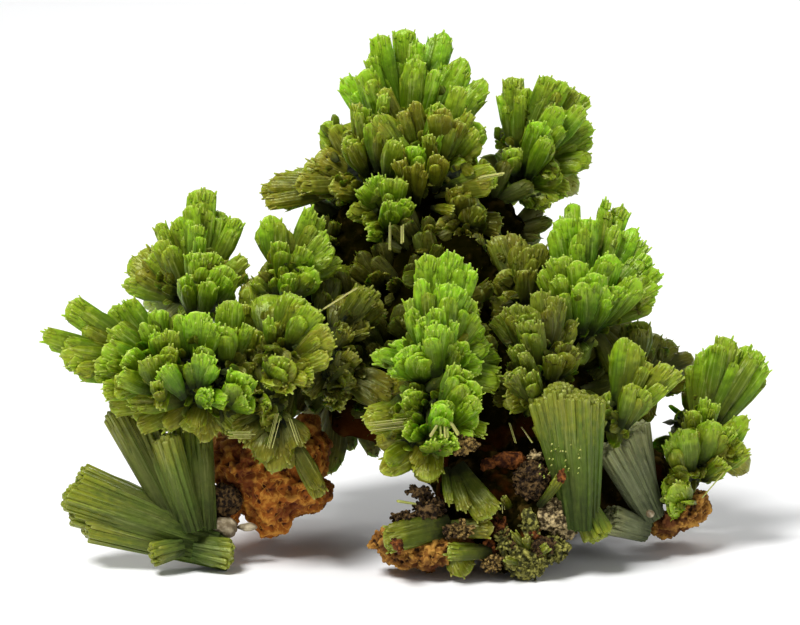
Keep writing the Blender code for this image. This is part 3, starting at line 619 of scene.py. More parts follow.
def sheaf(root, tip, wide, thick, tone, seed, detail, reach_along, lobes=None, root_width=ROOT_WIDTH):
    """A row of a sheaf's body as arrays, the bunch of its teeth, and its detail."""
    draw = np.random.default_rng(seed)
    axis, side, deep = across_and_deep(root, tip)
    length = np.linalg.norm(tip - root)
    segments = detail.segments
    lobes = lobes or draw.integers(*LOBES)
    phase = draw.uniform(0, 2 * pi)
    tone = tone + draw.uniform(-TONE_SWAY, TONE_SWAY)
    bow = (side * draw.uniform(-1, 1) + deep * draw.uniform(-1, 1)) * length * BOW
    turn = np.arange(segments) * 2 * pi / segments
    shoulder = draw.uniform(*SHOULDER)
    rim_width = draw.uniform(*RIM_WIDTH)
    flutes = draw.normal(0, FLUTE_DEPTH, segments)
    notches = draw.uniform(0, NOTCH, segments)
    thinning, lobe_depth, lobe_dip = RIM_THINNING, LOBE_DEPTH, LOBE_DIP
    if detail is ROUND:
        thinning, lobe_depth, lobe_dip = ROUND_THINNING, ROUND_LOBE_DEPTH, ROUND_LOBE_DIP
        bow = bow * ROUND_BOW

    def oval(turn, share):
        """How far out the flank is in each direction, as shares of the half widths."""
        return 1 + lobe_depth * share * np.cos(lobes * turn + phase)

    def crown(turn, ring):
        """How far the crown lies below the tip."""
        dip = lobe_dip * ring * (1 - np.cos(lobes * turn + phase)) / 2
        return np.minimum(wide * (shoulder * ring * ring + dip), length * DEEPEST_DIP)

    rim = length - crown(turn, 1.0) - notches
    rings = []
    for share in detail.sides:
        out = np.interp(share, (0, WIDEST, 1), (root_width, 1, rim_width)) * (oval(turn, share) + flutes)
        thin = 1 - thinning * share
        rings.append((np.cos(turn) * out, np.sin(turn) * out * thin, share * rim,
                      np.full(segments, share * FLANK_ALONG)))
    for ring in detail.crowns:
        out = ring * rim_width * (oval(turn, 1.0) + flutes)
        top = length - crown(turn, ring) + draw.uniform(-1, 1, segments) * ROUGH_CROWN
        rings.append((np.cos(turn) * out, np.sin(turn) * out * (1 - thinning), top,
                      np.full(segments, CROWN_ALONG - CROWN_EDGE_DARKER * ring)))
    x, y, z, along = (np.concatenate(column) for column in zip(*rings))
    x = np.append(x, (0, 0)) * wide / 2
    y = np.append(y, (0, 0)) * thick / 2
    z = np.append(z, (0, length))
    along = np.append(along, (0, 1)) * reach_along
    share = (z / length)[:, None]
    points = root + side * x[:, None] + deep * y[:, None] + axis * z[:, None] + bow * (share - share * share)
    corners, starts = ring_faces(segments, len(rings))
    body = {
        "points": points, "corners": corners, "starts": starts, "along": along,
        "tone": np.full(len(points), tone), "frost": np.zeros(len(points)),
        "grain": np.stack((x, y, z), axis=1) / MM + (*draw.uniform(0, GRAIN_ROOM, 2), 0),
        "smooth": np.full(len(starts), detail is not TINY),
    }
    if detail.tooth_gap is None:
        return body, None, detail
    teeth = []
    thin = thick * (1 - RIM_THINNING)
    number = max(FEWEST_TEETH, round(pi / 2 * (wide + thin) * rim_width / detail.tooth_gap))
    for k in range(number + number // 4):
        ring = TOOTH_RING if k < number else draw.uniform(*INNER_RINGS)
        at = 2 * pi * (k + draw.uniform(-0.3, 0.3)) / number if k < number else draw.uniform(0, 2 * pi)
        out = ring * rim_width * oval(at, 1.0)
        place = side * cos(at) * out * wide / 2 + deep * sin(at) * out * thin / 2
        top = length - crown(at, ring) + draw.uniform(*TOOTH_STEP)
        width = draw.uniform(*TOOTH_WIDTH)
        teeth.append((root + place * (1 - TOOTH_SPLAY * ring) + axis * (top - TOOTH_LENGTH),
                      root + place * (1 + TOOTH_SPLAY * ring * 0.3) + axis * top, width, width * TOOTH_TAPER,
                      tone + draw.uniform(-TOOTH_TONE_SWAY, TOOTH_TONE_SWAY),
                      reach_along * TOOTH_FROM_ALONG, reach_along))
    return body, bunch_of(teeth), detail


body, teeth, _ = sheaf(np.zeros(3), np.array((0, 0, 10 * MM)), 2.4 * MM, 1.2 * MM, 0.5, 0, FINE, 1.0)
print("a fine sheaf has", len(body["starts"]), "faces on its body and", len(teeth.base), "teeth")

# %% [markdown]
# ## Where the sheaves grow
# Each fan has a heart and a list of crown middles with their widths, read off the picture and
# written as across, up, near and wide in millimetres. The number after the heart is
# the fan's tone, from 0 for olive to 1 for bright green. Sheaves at the back follow a rule:
# they spread over a cone in the golden angle, as seeds do in a flower head.

# %% Table of fans
Fan = namedtuple("Fan", "heart tone tips")
REAR_SPREAD = radians(68)
GOLDEN_ANGLE = pi * (3 - sqrt(5))


def rear_fan(heart, tone, count, reach, wide):
    """A fan whose crowns point away from the viewer, spread evenly over a cone."""
    tips = []
    for i in range(count):
        lean = REAR_SPREAD * sqrt((i + 0.5) / count)
        turn = i * GOLDEN_ANGLE
        length = reach * (0.88 + 0.12 * cos(5 * i))
        tips.append((
            heart[0] + length * sin(lean) * cos(turn),
            heart[1] + length * sin(lean) * sin(turn),
            heart[2] - length * cos(lean),
            wide * (0.9 + 0.15 * sin(3 * i)),
        ))
    return Fan(heart, tone, tuple(tips))


# The fan tones are partly the sprays' own colour and partly painted light: fans at the front and at the top
# got brighter tones, those at the back and below duller ones.
SPRAYS = {
    "crown_spray": (
        Fan((0.8, 40.5, -9.0), 0.85, (
            (-2.0, 54.5, -7.5, 2.2), (0.3, 55.1, -9.0, 2.4), (1.9, 53.8, -7.5, 1.6), (4.5, 54.8, -9.5, 2.2),
            (6.5, 52.2, -8.5, 2.8), (8.6, 50.0, -8.5, 2.0), (1.6, 52.2, -4.5, 2.4), (3.6, 51.1, -4.5, 1.6),
            (4.0, 47.7, -2.0, 1.7), (-3.6, 51.1, -4.5, 2.2), (-5.6, 50.3, -7.5, 2.6),
            (8.3, 45.4, -5.0, 2.2), (-5.6, 44.2, -4.5, 1.7), (7.6, 42.6, -5.5, 2.6), (1.5, 43.4, -3.0, 2.0),
            (3.6, 44.8, -3.0, 1.9), (-3.0, 52.3, -6.5, 1.5),
        )),
        Fan((-2.6, 39.5, -9.0), 0.32, (
            (-7.6, 45.8, -9.5, 2.8), (-8.5, 42.4, -8.5, 2.4), (-9.7, 41.0, -9.5, 2.2),
            (-11.8, 40.2, -10.5, 2.0), (-13.9, 38.8, -10.5, 2.0), (-13.5, 37.7, -9.5, 1.8),
            (-7.0, 39.6, -6.5, 2.2), (-12.9, 39.7, -10.5, 2.0), (-4.4, 47.6, -3.0, 1.6),
            (-10.5, 39.6, -8.5, 2.2),
        )),
        Fan((3.0, 40.2, -6.5), 0.4, (
            (9.6, 40.8, -2.5, 2.4), (-1.7, 49.2, -3.0, 1.5), (7.1, 46.7, -4.0, 1.7), (9.3, 39.9, -2.5, 1.5),
            (5.3, 37.0, -2.0, 0.9), (-0.4, 44.2, -3.0, 1.7), (5.9, 46.2, -3.0, 1.6),
            (-2.4, 46.5, -1.5, 1.7), (6.0, 49.4, -4.5, 1.8),
        )),
        Fan((-2.0, 42.4, -8.8), 0.6, (
            (-2.4, 45.9, -1.8, 1.7), (-3.9, 47.3, -3.0, 1.6), (-0.5, 44.0, -1.6, 1.8),
            (-5.2, 44.0, -3.0, 1.9), (-1.6, 48.6, -2.4, 1.1),
        )),
        Fan((3.4, 42.8, -9.0), 0.2, (
            (1.4, 47.9, -1.8, 1.3), (4.3, 47.2, -1.5, 1.8), (2.9, 44.6, -1.8, 1.2), (3.6, 42.6, -1.8, 1.4),
            (5.9, 45.9, -2.6, 1.4), (7.7, 45.1, -3.4, 2.2), (0.2, 46.9, -2.0, 1.2),
        )),
        Fan((1.8, 39.8, -8.6), 0.0, (
            (1.7, 41.7, -1.8, 1.5), (-0.2, 41.9, -2.2, 1.4),
        )),
        rear_fan((0.5, 42.0, -11.0), 0.5, 12, 9.0, 2.6),
    ),
    "small_front_spray": (
        Fan((-1.0, 37.2, -6.0), 0.72, (
            (0.0, 40.1, -2.0, 1.6), (-3.9, 39.3, -3.0, 1.5), (0.9, 38.0, -2.0, 1.5),
            (-1.0, 37.8, -1.0, 2.2), (-3.2, 34.8, -3.0, 1.6), (1.6, 34.6, -5.0, 2.0),
            (-5.4, 36.6, -5.0, 2.2), (-1.3, 40.2, -2.0, 1.3), (-3.2, 34.5, -1.5, 1.0),
            (-2.5, 40.4, -3.0, 1.5),
        )),
    ),
    "crown_foot_spray": (
        Fan((6.4, 36.0, -7.0), 0.3, (
            (6.2, 39.4, -4.0, 3.0), (7.8, 37.4, -4.0, 2.0), (6.4, 34.4, -4.5, 2.2), (3.6, 35.6, -4.5, 2.2),
            (10.2, 35.6, -6.0, 2.2),
        )),
    ),
    "crown_branch": (
        Fan((11.5, 40.5, -12.5), 0.76, (
            (11.2, 50.3, -13.0, 1.9), (12.8, 49.2, -12.0, 1.7), (15.1, 50.3, -11.0, 2.1),
            (17.6, 49.0, -12.0, 1.7), (18.7, 48.4, -12.0, 1.7), (18.4, 47.3, -9.5, 2.2),
            (16.0, 47.3, -8.5, 2.0), (14.2, 45.8, -7.5, 2.4), (19.1, 45.6, -12.0, 2.0),
            (19.2, 42.3, -12.0, 2.2), (15.8, 41.6, -9.5, 2.6), (14.8, 37.2, -11.0, 1.5),
            (13.6, 37.2, -11.0, 1.4), (11.6, 43.2, -9.5, 2.4), (16.5, 49.8, -11.0, 1.9),
            (19.2, 44.0, -12.0, 1.9), (15.9, 38.0, -11.0, 1.5), (14.8, 44.2, -7.5, 1.7),
            (17.0, 39.2, -11.0, 1.7), (10.1, 48.5, -13.0, 1.3),
        )),
        rear_fan((12.8, 42.0, -13.2), 0.5, 9, 7.5, 2.4),
    ),
    "left_tower": (
        Fan((-20.3, 27.5, 1.5), 0.65, (
            (-20.0, 39.1, 1.0, 2.5), (-20.9, 37.5, 3.0, 1.9), (-18.0, 36.9, 0.0, 2.0),
            (-24.2, 35.7, 2.0, 1.4), (-24.1, 34.0, 3.0, 2.2), (-27.1, 32.0, 0.0, 2.0),
            (-27.6, 29.9, 1.0, 1.9), (-20.4, 32.7, 6.0, 2.2), (-18.6, 32.7, 5.0, 1.7),
            (-21.5, 30.3, 7.0, 1.9), (-17.2, 31.4, 6.5, 2.6), (-15.4, 32.2, 3.0, 1.6),
            (-19.4, 39.1, 1.0, 1.7), (-20.4, 35.5, 5.0, 1.3), (-17.0, 35.9, 0.0, 1.7),
            (-26.0, 32.9, 0.0, 2.0), (-19.8, 32.7, 6.0, 1.5), (-19.0, 29.9, 7.0, 1.6),
            (-25.0, 32.6, 1.5, 1.7), (-16.2, 36.2, 2.0, 1.7), (-22.0, 36.4, 2.0, 1.8),
        )),
        rear_fan((-20.5, 28.5, -0.5), 0.5, 10, 8.0, 2.4),
    ),
    "left_front_spray": (
        Fan((-23.4, 21.8, 8.5), 0.62, (
            (-33.3, 27.5, 11.0, 2.3), (-35.7, 24.6, 12.0, 2.1), (-34.0, 22.6, 12.0, 2.8),
            (-31.4, 20.7, 11.5, 1.9), (-29.7, 18.9, 12.5, 2.1), (-28.2, 20.4, 13.5, 1.9),
            (-27.6, 27.8, 8.5, 1.9), (-24.2, 27.0, 9.5, 1.9), (-29.0, 27.1, 8.5, 1.7),
            (-25.8, 25.8, 10.5, 1.4), (-24.4, 24.8, 12.5, 1.5), (-24.4, 19.9, 14.0, 1.4),
            (-23.0, 23.4, 13.5, 1.5), (-23.9, 17.1, 11.0, 1.1), (-22.9, 25.0, 13.0, 1.6),
            (-25.2, 22.2, 14.0, 1.9), (-33.1, 21.7, 12.0, 2.1), (-29.8, 23.2, 12.0, 2.4),
            (-29.0, 25.0, 11.0, 2.0), (-30.6, 21.6, 12.2, 2.0), (-27.4, 22.6, 12.6, 2.0),
        )),
        Fan((-20.3, 20.6, 9.0), 0.95, (
            (-22.2, 26.6, 12.0, 1.9), (-20.4, 26.9, 12.5, 2.6), (-23.7, 21.4, 14.5, 1.9),
            (-19.4, 22.6, 14.0, 1.8), (-18.9, 25.8, 12.5, 1.6), (-19.0, 17.3, 12.0, 1.3),
            (-17.3, 18.2, 12.5, 1.6), (-19.8, 26.8, 12.5, 1.9), (-19.2, 19.0, 13.5, 1.6),
        )),
        Fan((-17.3, 21.0, 7.5), 0.75, (
            (-17.3, 28.0, 8.5, 2.4), (-17.6, 25.4, 11.5, 2.2), (-15.7, 20.7, 13.5, 2.3),
            (-15.6, 18.4, 12.5, 2.3), (-15.1, 25.5, 9.5, 1.1), (-16.8, 28.0, 8.5, 1.7),
        )),
        Fan((-19.4, 18.8, 7.5), 0.55, (
            (-29.1, 17.3, 8.5, 2.3), (-27.4, 18.3, 10.5, 2.1), (-26.2, 15.2, 8.5, 1.8),
            (-19.6, 13.7, 8.0, 2.3), (-16.2, 15.2, 8.5, 2.6), (-26.8, 16.6, 8.0, 2.4),
            (-24.0, 15.2, 8.0, 2.2), (-21.6, 15.0, 8.5, 2.2),
        )),
        rear_fan((-21.0, 21.5, 6.0), 0.4, 9, 7.0, 2.3),
    ),
    "left_middle_spray": (
        Fan((-11.8, 29.0, 0.5), 0.6, (
            (-13.1, 36.5, 1.0, 2.3), (-8.8, 37.2, 1.0, 1.7), (-12.1, 33.9, 4.0, 1.8),
            (-5.9, 32.1, 0.0, 1.7), (-11.1, 30.7, 5.0, 1.4), (-4.8, 31.0, -4.0, 2.2),
            (-9.4, 33.2, 3.5, 2.4), (-8.4, 31.0, 4.0, 2.2), (-14.4, 30.4, 3.5, 1.8), (-8.0, 36.2, 0.0, 1.4),
            (-6.6, 33.3, 1.0, 1.7), (-7.4, 34.8, 1.0, 1.8),
        )),
        rear_fan((-11.0, 29.5, -1.5), 0.4, 7, 7.0, 2.4),
    ),
    "left_fan": (
        Fan((-12.6, 22.6, 8.0), 0.48, (
            (-10.6, 28.6, 9.0, 1.9), (-8.2, 27.0, 11.5, 2.2), (-6.8, 24.4, 12.0, 2.2),
            (-8.6, 20.6, 12.0, 1.6), (-12.2, 22.4, 12.5, 2.6), (-12.6, 19.4, 11.5, 2.4),
            (-13.4, 28.6, 5.5, 2.9), (-9.5, 28.1, 10.0, 1.6), (-7.1, 22.4, 12.0, 1.6),
            (-13.3, 26.2, 10.5, 1.1), (-8.9, 27.3, 11.0, 1.7), (-7.1, 25.3, 12.0, 1.8),
            (-10.6, 19.0, 11.0, 2.0),
        )),
        Fan((-15.0, 22.0, 3.0), 0.35, (
            (-15.6, 27.6, 6.0, 2.0), (-14.4, 25.0, 8.0, 1.8), (-15.4, 21.8, 8.5, 2.0),
            (-14.2, 18.9, 8.0, 1.8), (-15.0, 16.4, 8.5, 1.8), (-14.9, 30.2, 2.0, 2.2),
            (-14.2, 15.2, 8.5, 2.2), (-12.9, 17.6, 9.5, 1.8),
        )),
    ),
    "inner_left_spray": (
        Fan((-7.0, 24.0, 3.0), 0.4, (
            (-3.2, 29.2, 4.5, 2.2), (-1.8, 27.9, 2.5, 1.8), (-5.3, 25.0, 6.0, 1.6), (-3.0, 25.6, 3.5, 2.0),
            (-5.6, 28.6, 1.0, 2.2), (-2.4, 28.9, 4.5, 1.5),
        )),
        Fan((-7.0, 21.2, 3.5), 0.3, (
            (-6.3, 17.9, 7.0, 1.8), (-0.6, 19.4, 4.5, 2.0), (-0.9, 17.9, 5.0, 1.8), (-5.0, 20.8, 6.5, 1.8),
            (-4.4, 22.6, 6.0, 1.8), (-9.6, 18.8, 4.0, 2.0), (-5.6, 17.4, 8.0, 1.2), (-7.0, 18.1, 8.0, 1.2),
        )),
    ),
    "hanging_sheaf": (
        Fan((-12.6, 17.4, 8.0), 0.4, (
            (-12.7, 10.7, 9.5, 3.1), (-10.0, 13.0, 8.5, 2.2), (-10.9, 11.1, 8.5, 2.0),
            (-7.9, 8.3, 8.5, 1.7), (-14.0, 23.0, 7.6, 2.4), (-16.6, 14.4, 9.2, 2.0),
            (-15.2, 13.2, 9.0, 2.2), (-13.8, 16.0, 10.0, 2.0),
        )),
    ),
    "centre_tower": (
        Fan((3.4, 21.0, 8.5), 0.95, (
            (2.7, 32.6, 10.5, 2.3), (4.9, 32.9, 10.5, 2.6), (6.8, 31.6, 10.0, 1.9), (2.1, 30.2, 12.5, 1.5),
            (5.2, 29.6, 12.3, 2.4), (7.7, 26.6, 10.5, 1.8), (3.8, 27.2, 15.0, 1.5), (3.9, 25.6, 15.5, 1.8),
            (8.4, 25.4, 8.5, 1.9), (6.8, 23.8, 11.0, 1.8), (-2.9, 22.4, 8.5, 1.6), (0.9, 23.2, 13.3, 2.6),
            (10.0, 22.2, 6.5, 2.0), (10.1, 19.9, 7.5, 2.2), (7.4, 31.0, 10.5, 1.5), (1.1, 27.2, 12.0, 1.5),
            (5.4, 25.8, 14.0, 1.2), (-1.3, 21.0, 8.5, 1.5), (1.1, 23.5, 13.5, 1.8), (8.2, 21.6, 9.5, 1.8),
            (6.9, 20.9, 15.0, 1.9), (7.4, 28.0, 10.5, 1.9), (1.3, 28.2, 11.5, 1.7), (8.9, 23.7, 8.5, 1.9),
            (5.5, 32.7, 10.5, 1.9), (5.0, 23.7, 13.0, 1.9), (-0.8, 23.7, 8.5, 1.7), (2.4, 26.4, 13.5, 1.8),
            (-0.1, 22.8, 13.0, 1.6), (6.6, 28.6, 11.5, 1.9),
        )),
        Fan((2.8, 17.8, 9.0), 0.8, (
            (5.8, 21.5, 15.0, 1.9), (7.7, 19.8, 15.0, 1.9), (0.6, 19.0, 12.5, 1.8), (-3.6, 15.7, 10.5, 2.3),
            (0.4, 15.1, 14.0, 1.7), (3.5, 13.9, 15.5, 1.6), (5.6, 14.2, 15.5, 1.9), (7.9, 16.1, 12.5, 1.7),
            (8.6, 14.9, 12.0, 1.7), (4.4, 17.6, 15.5, 2.2), (0.6, 18.3, 12.5, 1.4), (4.6, 14.2, 15.5, 1.2),
            (7.3, 14.3, 12.5, 1.6), (7.8, 18.2, 15.0, 1.9),
        )),
        Fan((3.0, 16.0, 7.6), 0.55, (
            (-2.0, 10.8, 11.5, 2.7), (2.7, 9.9, 10.5, 2.5), (-2.3, 13.5, 5.5, 1.9),
        )),
        rear_fan((3.2, 20.0, 6.0), 0.4, 5, 5.5, 2.6),
    ),
    "right_crown": (
        Fan((18.0, 24.5, 0.5), 0.82, (
            (16.3, 36.2, 1.5, 2.3), (17.3, 37.7, -5.0, 1.8), (18.9, 36.1, 2.5, 1.9), (20.7, 38.0, 0.0, 1.2),
            (22.3, 37.3, -1.0, 1.6), (23.6, 35.2, -0.5, 1.7), (25.0, 32.4, 0.5, 1.7),
            (25.9, 30.9, 1.0, 1.7), (25.5, 28.3, 1.0, 1.5), (16.3, 32.4, 5.0, 1.7), (15.8, 30.2, 6.0, 1.9),
            (19.7, 30.7, 5.5, 2.2), (18.2, 29.8, 6.0, 1.9), (23.9, 30.2, 4.0, 1.9), (17.7, 32.0, 5.0, 1.7),
            (24.6, 33.6, -0.5, 1.5), (25.8, 29.5, 1.5, 1.5), (20.6, 29.3, 5.5, 1.9), (15.2, 32.2, 4.5, 1.5),
            (21.6, 35.5, 0.5, 1.5), (17.8, 34.6, 2.5, 1.9), (22.2, 29.3, 4.5, 1.8), (14.2, 31.1, 4.0, 1.6),
            (21.2, 32.6, 3.5, 2.3),
        )),
        rear_fan((18.5, 27.0, -2.0), 0.5, 13, 9.0, 2.6),
    ),
    "shoulder_spray": (
        Fan((12.4, 27.0, -2.5), 0.25, (
            (9.6, 34.4, -3.5, 2.2), (11.0, 34.7, -3.5, 2.4), (10.2, 31.0, -1.0, 2.4),
            (12.8, 33.3, 0.0, 1.9), (14.2, 33.7, 0.0, 1.9), (12.6, 31.0, 1.5, 2.0), (9.4, 28.0, 0.0, 2.2),
            (12.1, 34.0, -2.5, 1.9),
        )),
    ),
    "right_back_spray": (
        Fan((23.6, 20.4, -5.5), 0.35, (
            (24.0, 25.9, -2.0, 2.4), (25.8, 24.6, -7.5, 2.6), (27.6, 23.6, -8.5, 2.4),
            (29.4, 22.2, -9.0, 2.6), (28.4, 19.4, -7.0, 2.8), (24.6, 15.6, -5.5, 3.0),
            (22.4, 24.4, -9.0, 2.6), (25.4, 20.6, -11.5, 2.8),
        )),
    ),
    "right_front_spray": (
        Fan((14.6, 20.5, 5.0), 0.5, (
            (10.5, 27.2, 8.0, 1.7), (12.4, 27.4, 8.5, 1.8), (14.0, 28.9, 7.5, 2.0), (15.2, 28.4, 7.5, 1.7),
            (9.4, 26.3, 6.0, 1.7), (10.8, 20.6, 11.0, 1.7), (13.0, 20.8, 11.5, 1.7), (17.3, 23.5, 8.5, 2.4),
            (15.4, 22.6, 9.5, 1.9), (10.6, 18.0, 8.5, 2.2), (11.4, 27.6, 8.5, 1.7), (16.2, 27.8, 7.0, 1.5),
            (13.6, 25.7, 10.5, 1.5), (12.3, 22.8, 11.5, 1.5), (11.8, 21.0, 11.5, 1.6),
            (17.4, 26.0, 5.5, 1.6), (12.6, 25.9, 10.5, 1.6), (11.7, 23.6, 10.5, 1.6),
        )),
    ),
    "right_side_spray": (
        Fan((21.4, 15.0, 5.0), 0.5, (
            (22.4, 24.3, 7.0, 1.8), (24.0, 23.2, 6.0, 1.6), (27.0, 21.5, 6.5, 2.1), (28.0, 20.8, 6.5, 1.8),
            (24.9, 21.8, 6.0, 1.6), (20.8, 18.8, 5.0, 1.8), (23.3, 23.8, 7.0, 1.7), (23.2, 19.7, 9.0, 1.3),
            (26.4, 19.4, 6.5, 1.6), (24.7, 19.0, 8.5, 1.6),
        )),
    ),
    "far_right_spray": (
        Fan((29.2, 12.0, -3.5), 0.58, (
            (30.4, 22.9, -3.5, 1.9), (32.6, 24.3, -3.5, 1.9), (33.5, 23.6, -3.5, 1.5),
            (34.9, 23.4, -4.0, 1.9), (36.5, 21.8, -4.0, 1.7), (30.5, 18.1, 0.5, 1.5),
            (29.3, 17.0, 1.0, 1.7), (28.4, 15.1, 3.0, 2.8), (31.5, 15.9, 2.0, 2.5), (31.4, 23.5, -3.5, 1.9),
            (31.5, 17.7, 0.5, 1.3), (33.0, 15.2, 1.5, 1.6), (36.0, 22.8, -4.0, 1.9),
        )),
        Fan((29.2, 10.4, -2.0), 0.5, (
            (34.7, 16.4, 0.0, 2.4), (34.4, 13.6, 0.5, 2.6), (32.6, 11.9, 0.5, 1.8), (27.4, 9.6, 3.0, 2.8),
            (26.9, 7.6, 2.0, 2.4), (27.0, 14.0, 2.5, 2.0),
        )),
        rear_fan((30.0, 14.0, -6.0), 0.4, 8, 7.0, 2.2),
    ),
    "back_left_spray": (
        rear_fan((-6.0, 20.0, -11.0), 0.5, 16, 10.5, 2.7),
    ),
    "back_right_spray": (
        rear_fan((15.0, 17.0, -12.0), 0.5, 18, 11.0, 2.8),
    ),
    "back_upper_spray": (
        rear_fan((4.0, 30.0, -13.0), 0.5, 15, 9.5, 2.6),
    ),
}
print("sheaves in the table:", sum(len(fan.tips) for fans in SPRAYS.values() for fan in fans))

# %% [markdown]
# ## The dense heart of a spray
# Behind the crowns the sheaves have grown into one mass, shown dark with painted shade. The frame's own solid
# already has that form, so a copy of it is taken and every point is drawn half way in towards the
# nearest heart. It gets the near-black crust finish, painted shade deep inside the spray. The solid itself
# isn't touched.

# %% Heart, dark with painted shade, from a copy of the solid
HEART_PULL = 0.5
HEART_ALONG = -0.3


def cloud_texture(name, size):
    texture = bpy.data.textures.new(name, "CLOUDS")
    texture.noise_scale = size
    return texture


def copy_of_solid(node, name):
    """A merged copy of a CAD node, selected and active."""
    deselect_all()
    copied = bpy.data.objects.new(name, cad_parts[node].data.copy())
    bpy.context.scene.collection.objects.link(copied)
    bpy.context.view_layer.objects.active = copied
    copied.select_set(True)
    copied.data.materials.clear()
    bpy.ops.object.mode_set(mode="EDIT")
    bpy.ops.mesh.select_all(action="SELECT")
    bpy.ops.mesh.remove_doubles(threshold=1e-6)
    bpy.ops.object.mode_set(mode="OBJECT")
    return copied


def apply_modifier(obj, kind, **settings):
    modifier = obj.modifiers.new(kind.title(), kind)
    for name, value in settings.items():
        setattr(modifier, name, value)
    bpy.ops.object.modifier_apply(modifier=modifier.name)


def mesh_values(items, key, kind=int, width=1):
    """What the points, corners or faces of a mesh say under one key, as an array."""
    values = np.empty(len(items) * width, kind)
    items.foreach_get(key, values)
    return values.reshape(-1, width) if width > 1 else values


def object_arrays(obj, along, tone, finish):
    """The arrays of an object's mesh, with even values for its finish, and the object removed."""
    mesh = obj.data
    points = mesh_values(mesh.vertices, "co", float, 3)
    corners = mesh_values(mesh.loops, "vertex_index")
    starts = mesh_values(mesh.polygons, "loop_start")
    bpy.data.objects.remove(obj)
    count = len(points)
    return {
        "points": points, "corners": corners, "starts": starts, "along": np.full(count, along),
        "tone": np.full(count, tone), "frost": np.zeros(count), "grain": points / MM,
        "smooth": np.ones(len(starts), bool), "finish": finish,
    }


def painted_shade_heart(node, tone, hearts):
    """The solid's own form, each point drawn in towards the nearest of the hearts."""
    # The heart takes the near-black crust finish: painted shade deep in the spray.
    core = object_arrays(copy_of_solid(node, "core"), HEART_ALONG, tone, finish=1)
    away = core["points"][:, None] - np.array(hearts)
    nearest = np.linalg.norm(away, axis=2).argmin(1)
    core["points"] = core["points"] - away[np.arange(len(away)), nearest] * HEART_PULL
    return core


# %% [markdown]
# ## What crusts the surfaces
# Between its large sheaves a spray is covered with short ones, and the rock sparkles with
# crystals under a millimetre long. Both are strewn over the faces of a solid in proportion to
# their area, and they lean away from the heart that they grew around.

# %% Strew crystals and short sheaves over a solid
WAY_SWAY = 0.3
DRUSE_LENGTH = (0.35 * MM, 0.95 * MM)
DRUSE_WIDTH = (0.2 * MM, 0.38 * MM)
DRUSE_SUNK = 0.3 * MM
DRUSE_LEAN = 0.9
DRUSE_ALONG = (0.35, 0.75)
DRUSE_TONE_SWAY = 0.15
SHORT_WIDE = (0.6 * MM, 1.5 * MM)
SHORT_LENGTH = (1.6 * MM, 3.0 * MM)
SHORT_STEP = 0.45 * MM
SHORT_FLATNESS = 0.6
SHORT_ALONG = (0.5, 0.8)
SHORT_LEAN = 1.2
MOST_SEEDS = 1e9


def spots_on(node, hearts, per_mm2, lean, draw, keep):
    """Places strewn over a solid's faces, their normals and the ways that crystals grow there."""
    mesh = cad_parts[node].data
    mesh.calc_loop_triangles()
    points = np.array([vert.co[:] for vert in mesh.vertices])
    tris = points[np.array([tri.vertices[:] for tri in mesh.loop_triangles])]
    cross = np.cross(tris[:, 1] - tris[:, 0], tris[:, 2] - tris[:, 0])
    area = np.linalg.norm(cross, axis=1) / 2
    count = int(area.sum() / MM ** 2 * per_mm2)
    picked = draw.choice(len(tris), count, p=area / area.sum())
    a, b = draw.uniform(0, 1, (2, count, 1))
    a, b = np.where(a + b > 1, 1 - a, a), np.where(a + b > 1, 1 - b, b)
    spot = tris[picked, 0] * (1 - a - b) + tris[picked, 1] * a + tris[picked, 2] * b
    normal = unit(cross[picked])
    away = spot[:, None] - np.array(hearts)
    distance = np.linalg.norm(away, axis=2)
    outward = unit(away[np.arange(count), distance.argmin(1)])
    way = unit(normal + outward * lean + draw.normal(0, WAY_SWAY, (count, 3)))
    kept = keep(spot, distance.min(1))
    return spot[kept], normal[kept], way[kept]


def everywhere(spot, distance):
    return np.full(len(spot), True)


def druse(node, hearts, per_mm2, tone, seed):
    """A bunch of small crystals over the faces of a CAD node."""
    draw = np.random.default_rng(seed)
    spot, normal, way = spots_on(node, hearts, per_mm2, DRUSE_LEAN, draw, everywhere)
    count = len(spot)
    length = draw.uniform(*DRUSE_LENGTH, count)[:, None]
    width = draw.uniform(*DRUSE_WIDTH, count)
    base = spot - way * 0.5 * length - normal * DRUSE_SUNK
    end = spot + way * (0.5 * length - 0.25 * MM)
    return Bunch(base, end, width * 0.7, width, tone + draw.uniform(-DRUSE_TONE_SWAY, DRUSE_TONE_SWAY, count),
                 np.full(count, 0.1), draw.uniform(*DRUSE_ALONG, count), np.zeros(count))


def short_sheaves(node, hearts, per_mm2, tone, seed, keep):
    """Rows of short sheaves over the faces of a CAD node."""
    draw = np.random.default_rng(seed)
    grown = []
    for spot, _, way in zip(*spots_on(node, hearts, per_mm2, SHORT_LEAN, draw, keep)):
        wide = draw.uniform(*SHORT_WIDE)
        length = draw.uniform(*SHORT_LENGTH)
        tip = spot + way * draw.uniform(0, SHORT_STEP)
        grown.append(sheaf(tip - way * length, tip, wide, wide * SHORT_FLATNESS, tone,
                           int(draw.integers(MOST_SEEDS)), TINY, draw.uniform(*SHORT_ALONG)))
    return grown


# %% [markdown]
# ## Grow the sprays
# Every sheaf of the table is grown from near its fan's heart. Between neighbouring sheaves a
# shorter, duller one fills the gap, which makes the spray look as dense as it is. The heart,
# dark with painted shade, and the short sheaves are joined to the large ones, because they grew as one piece.

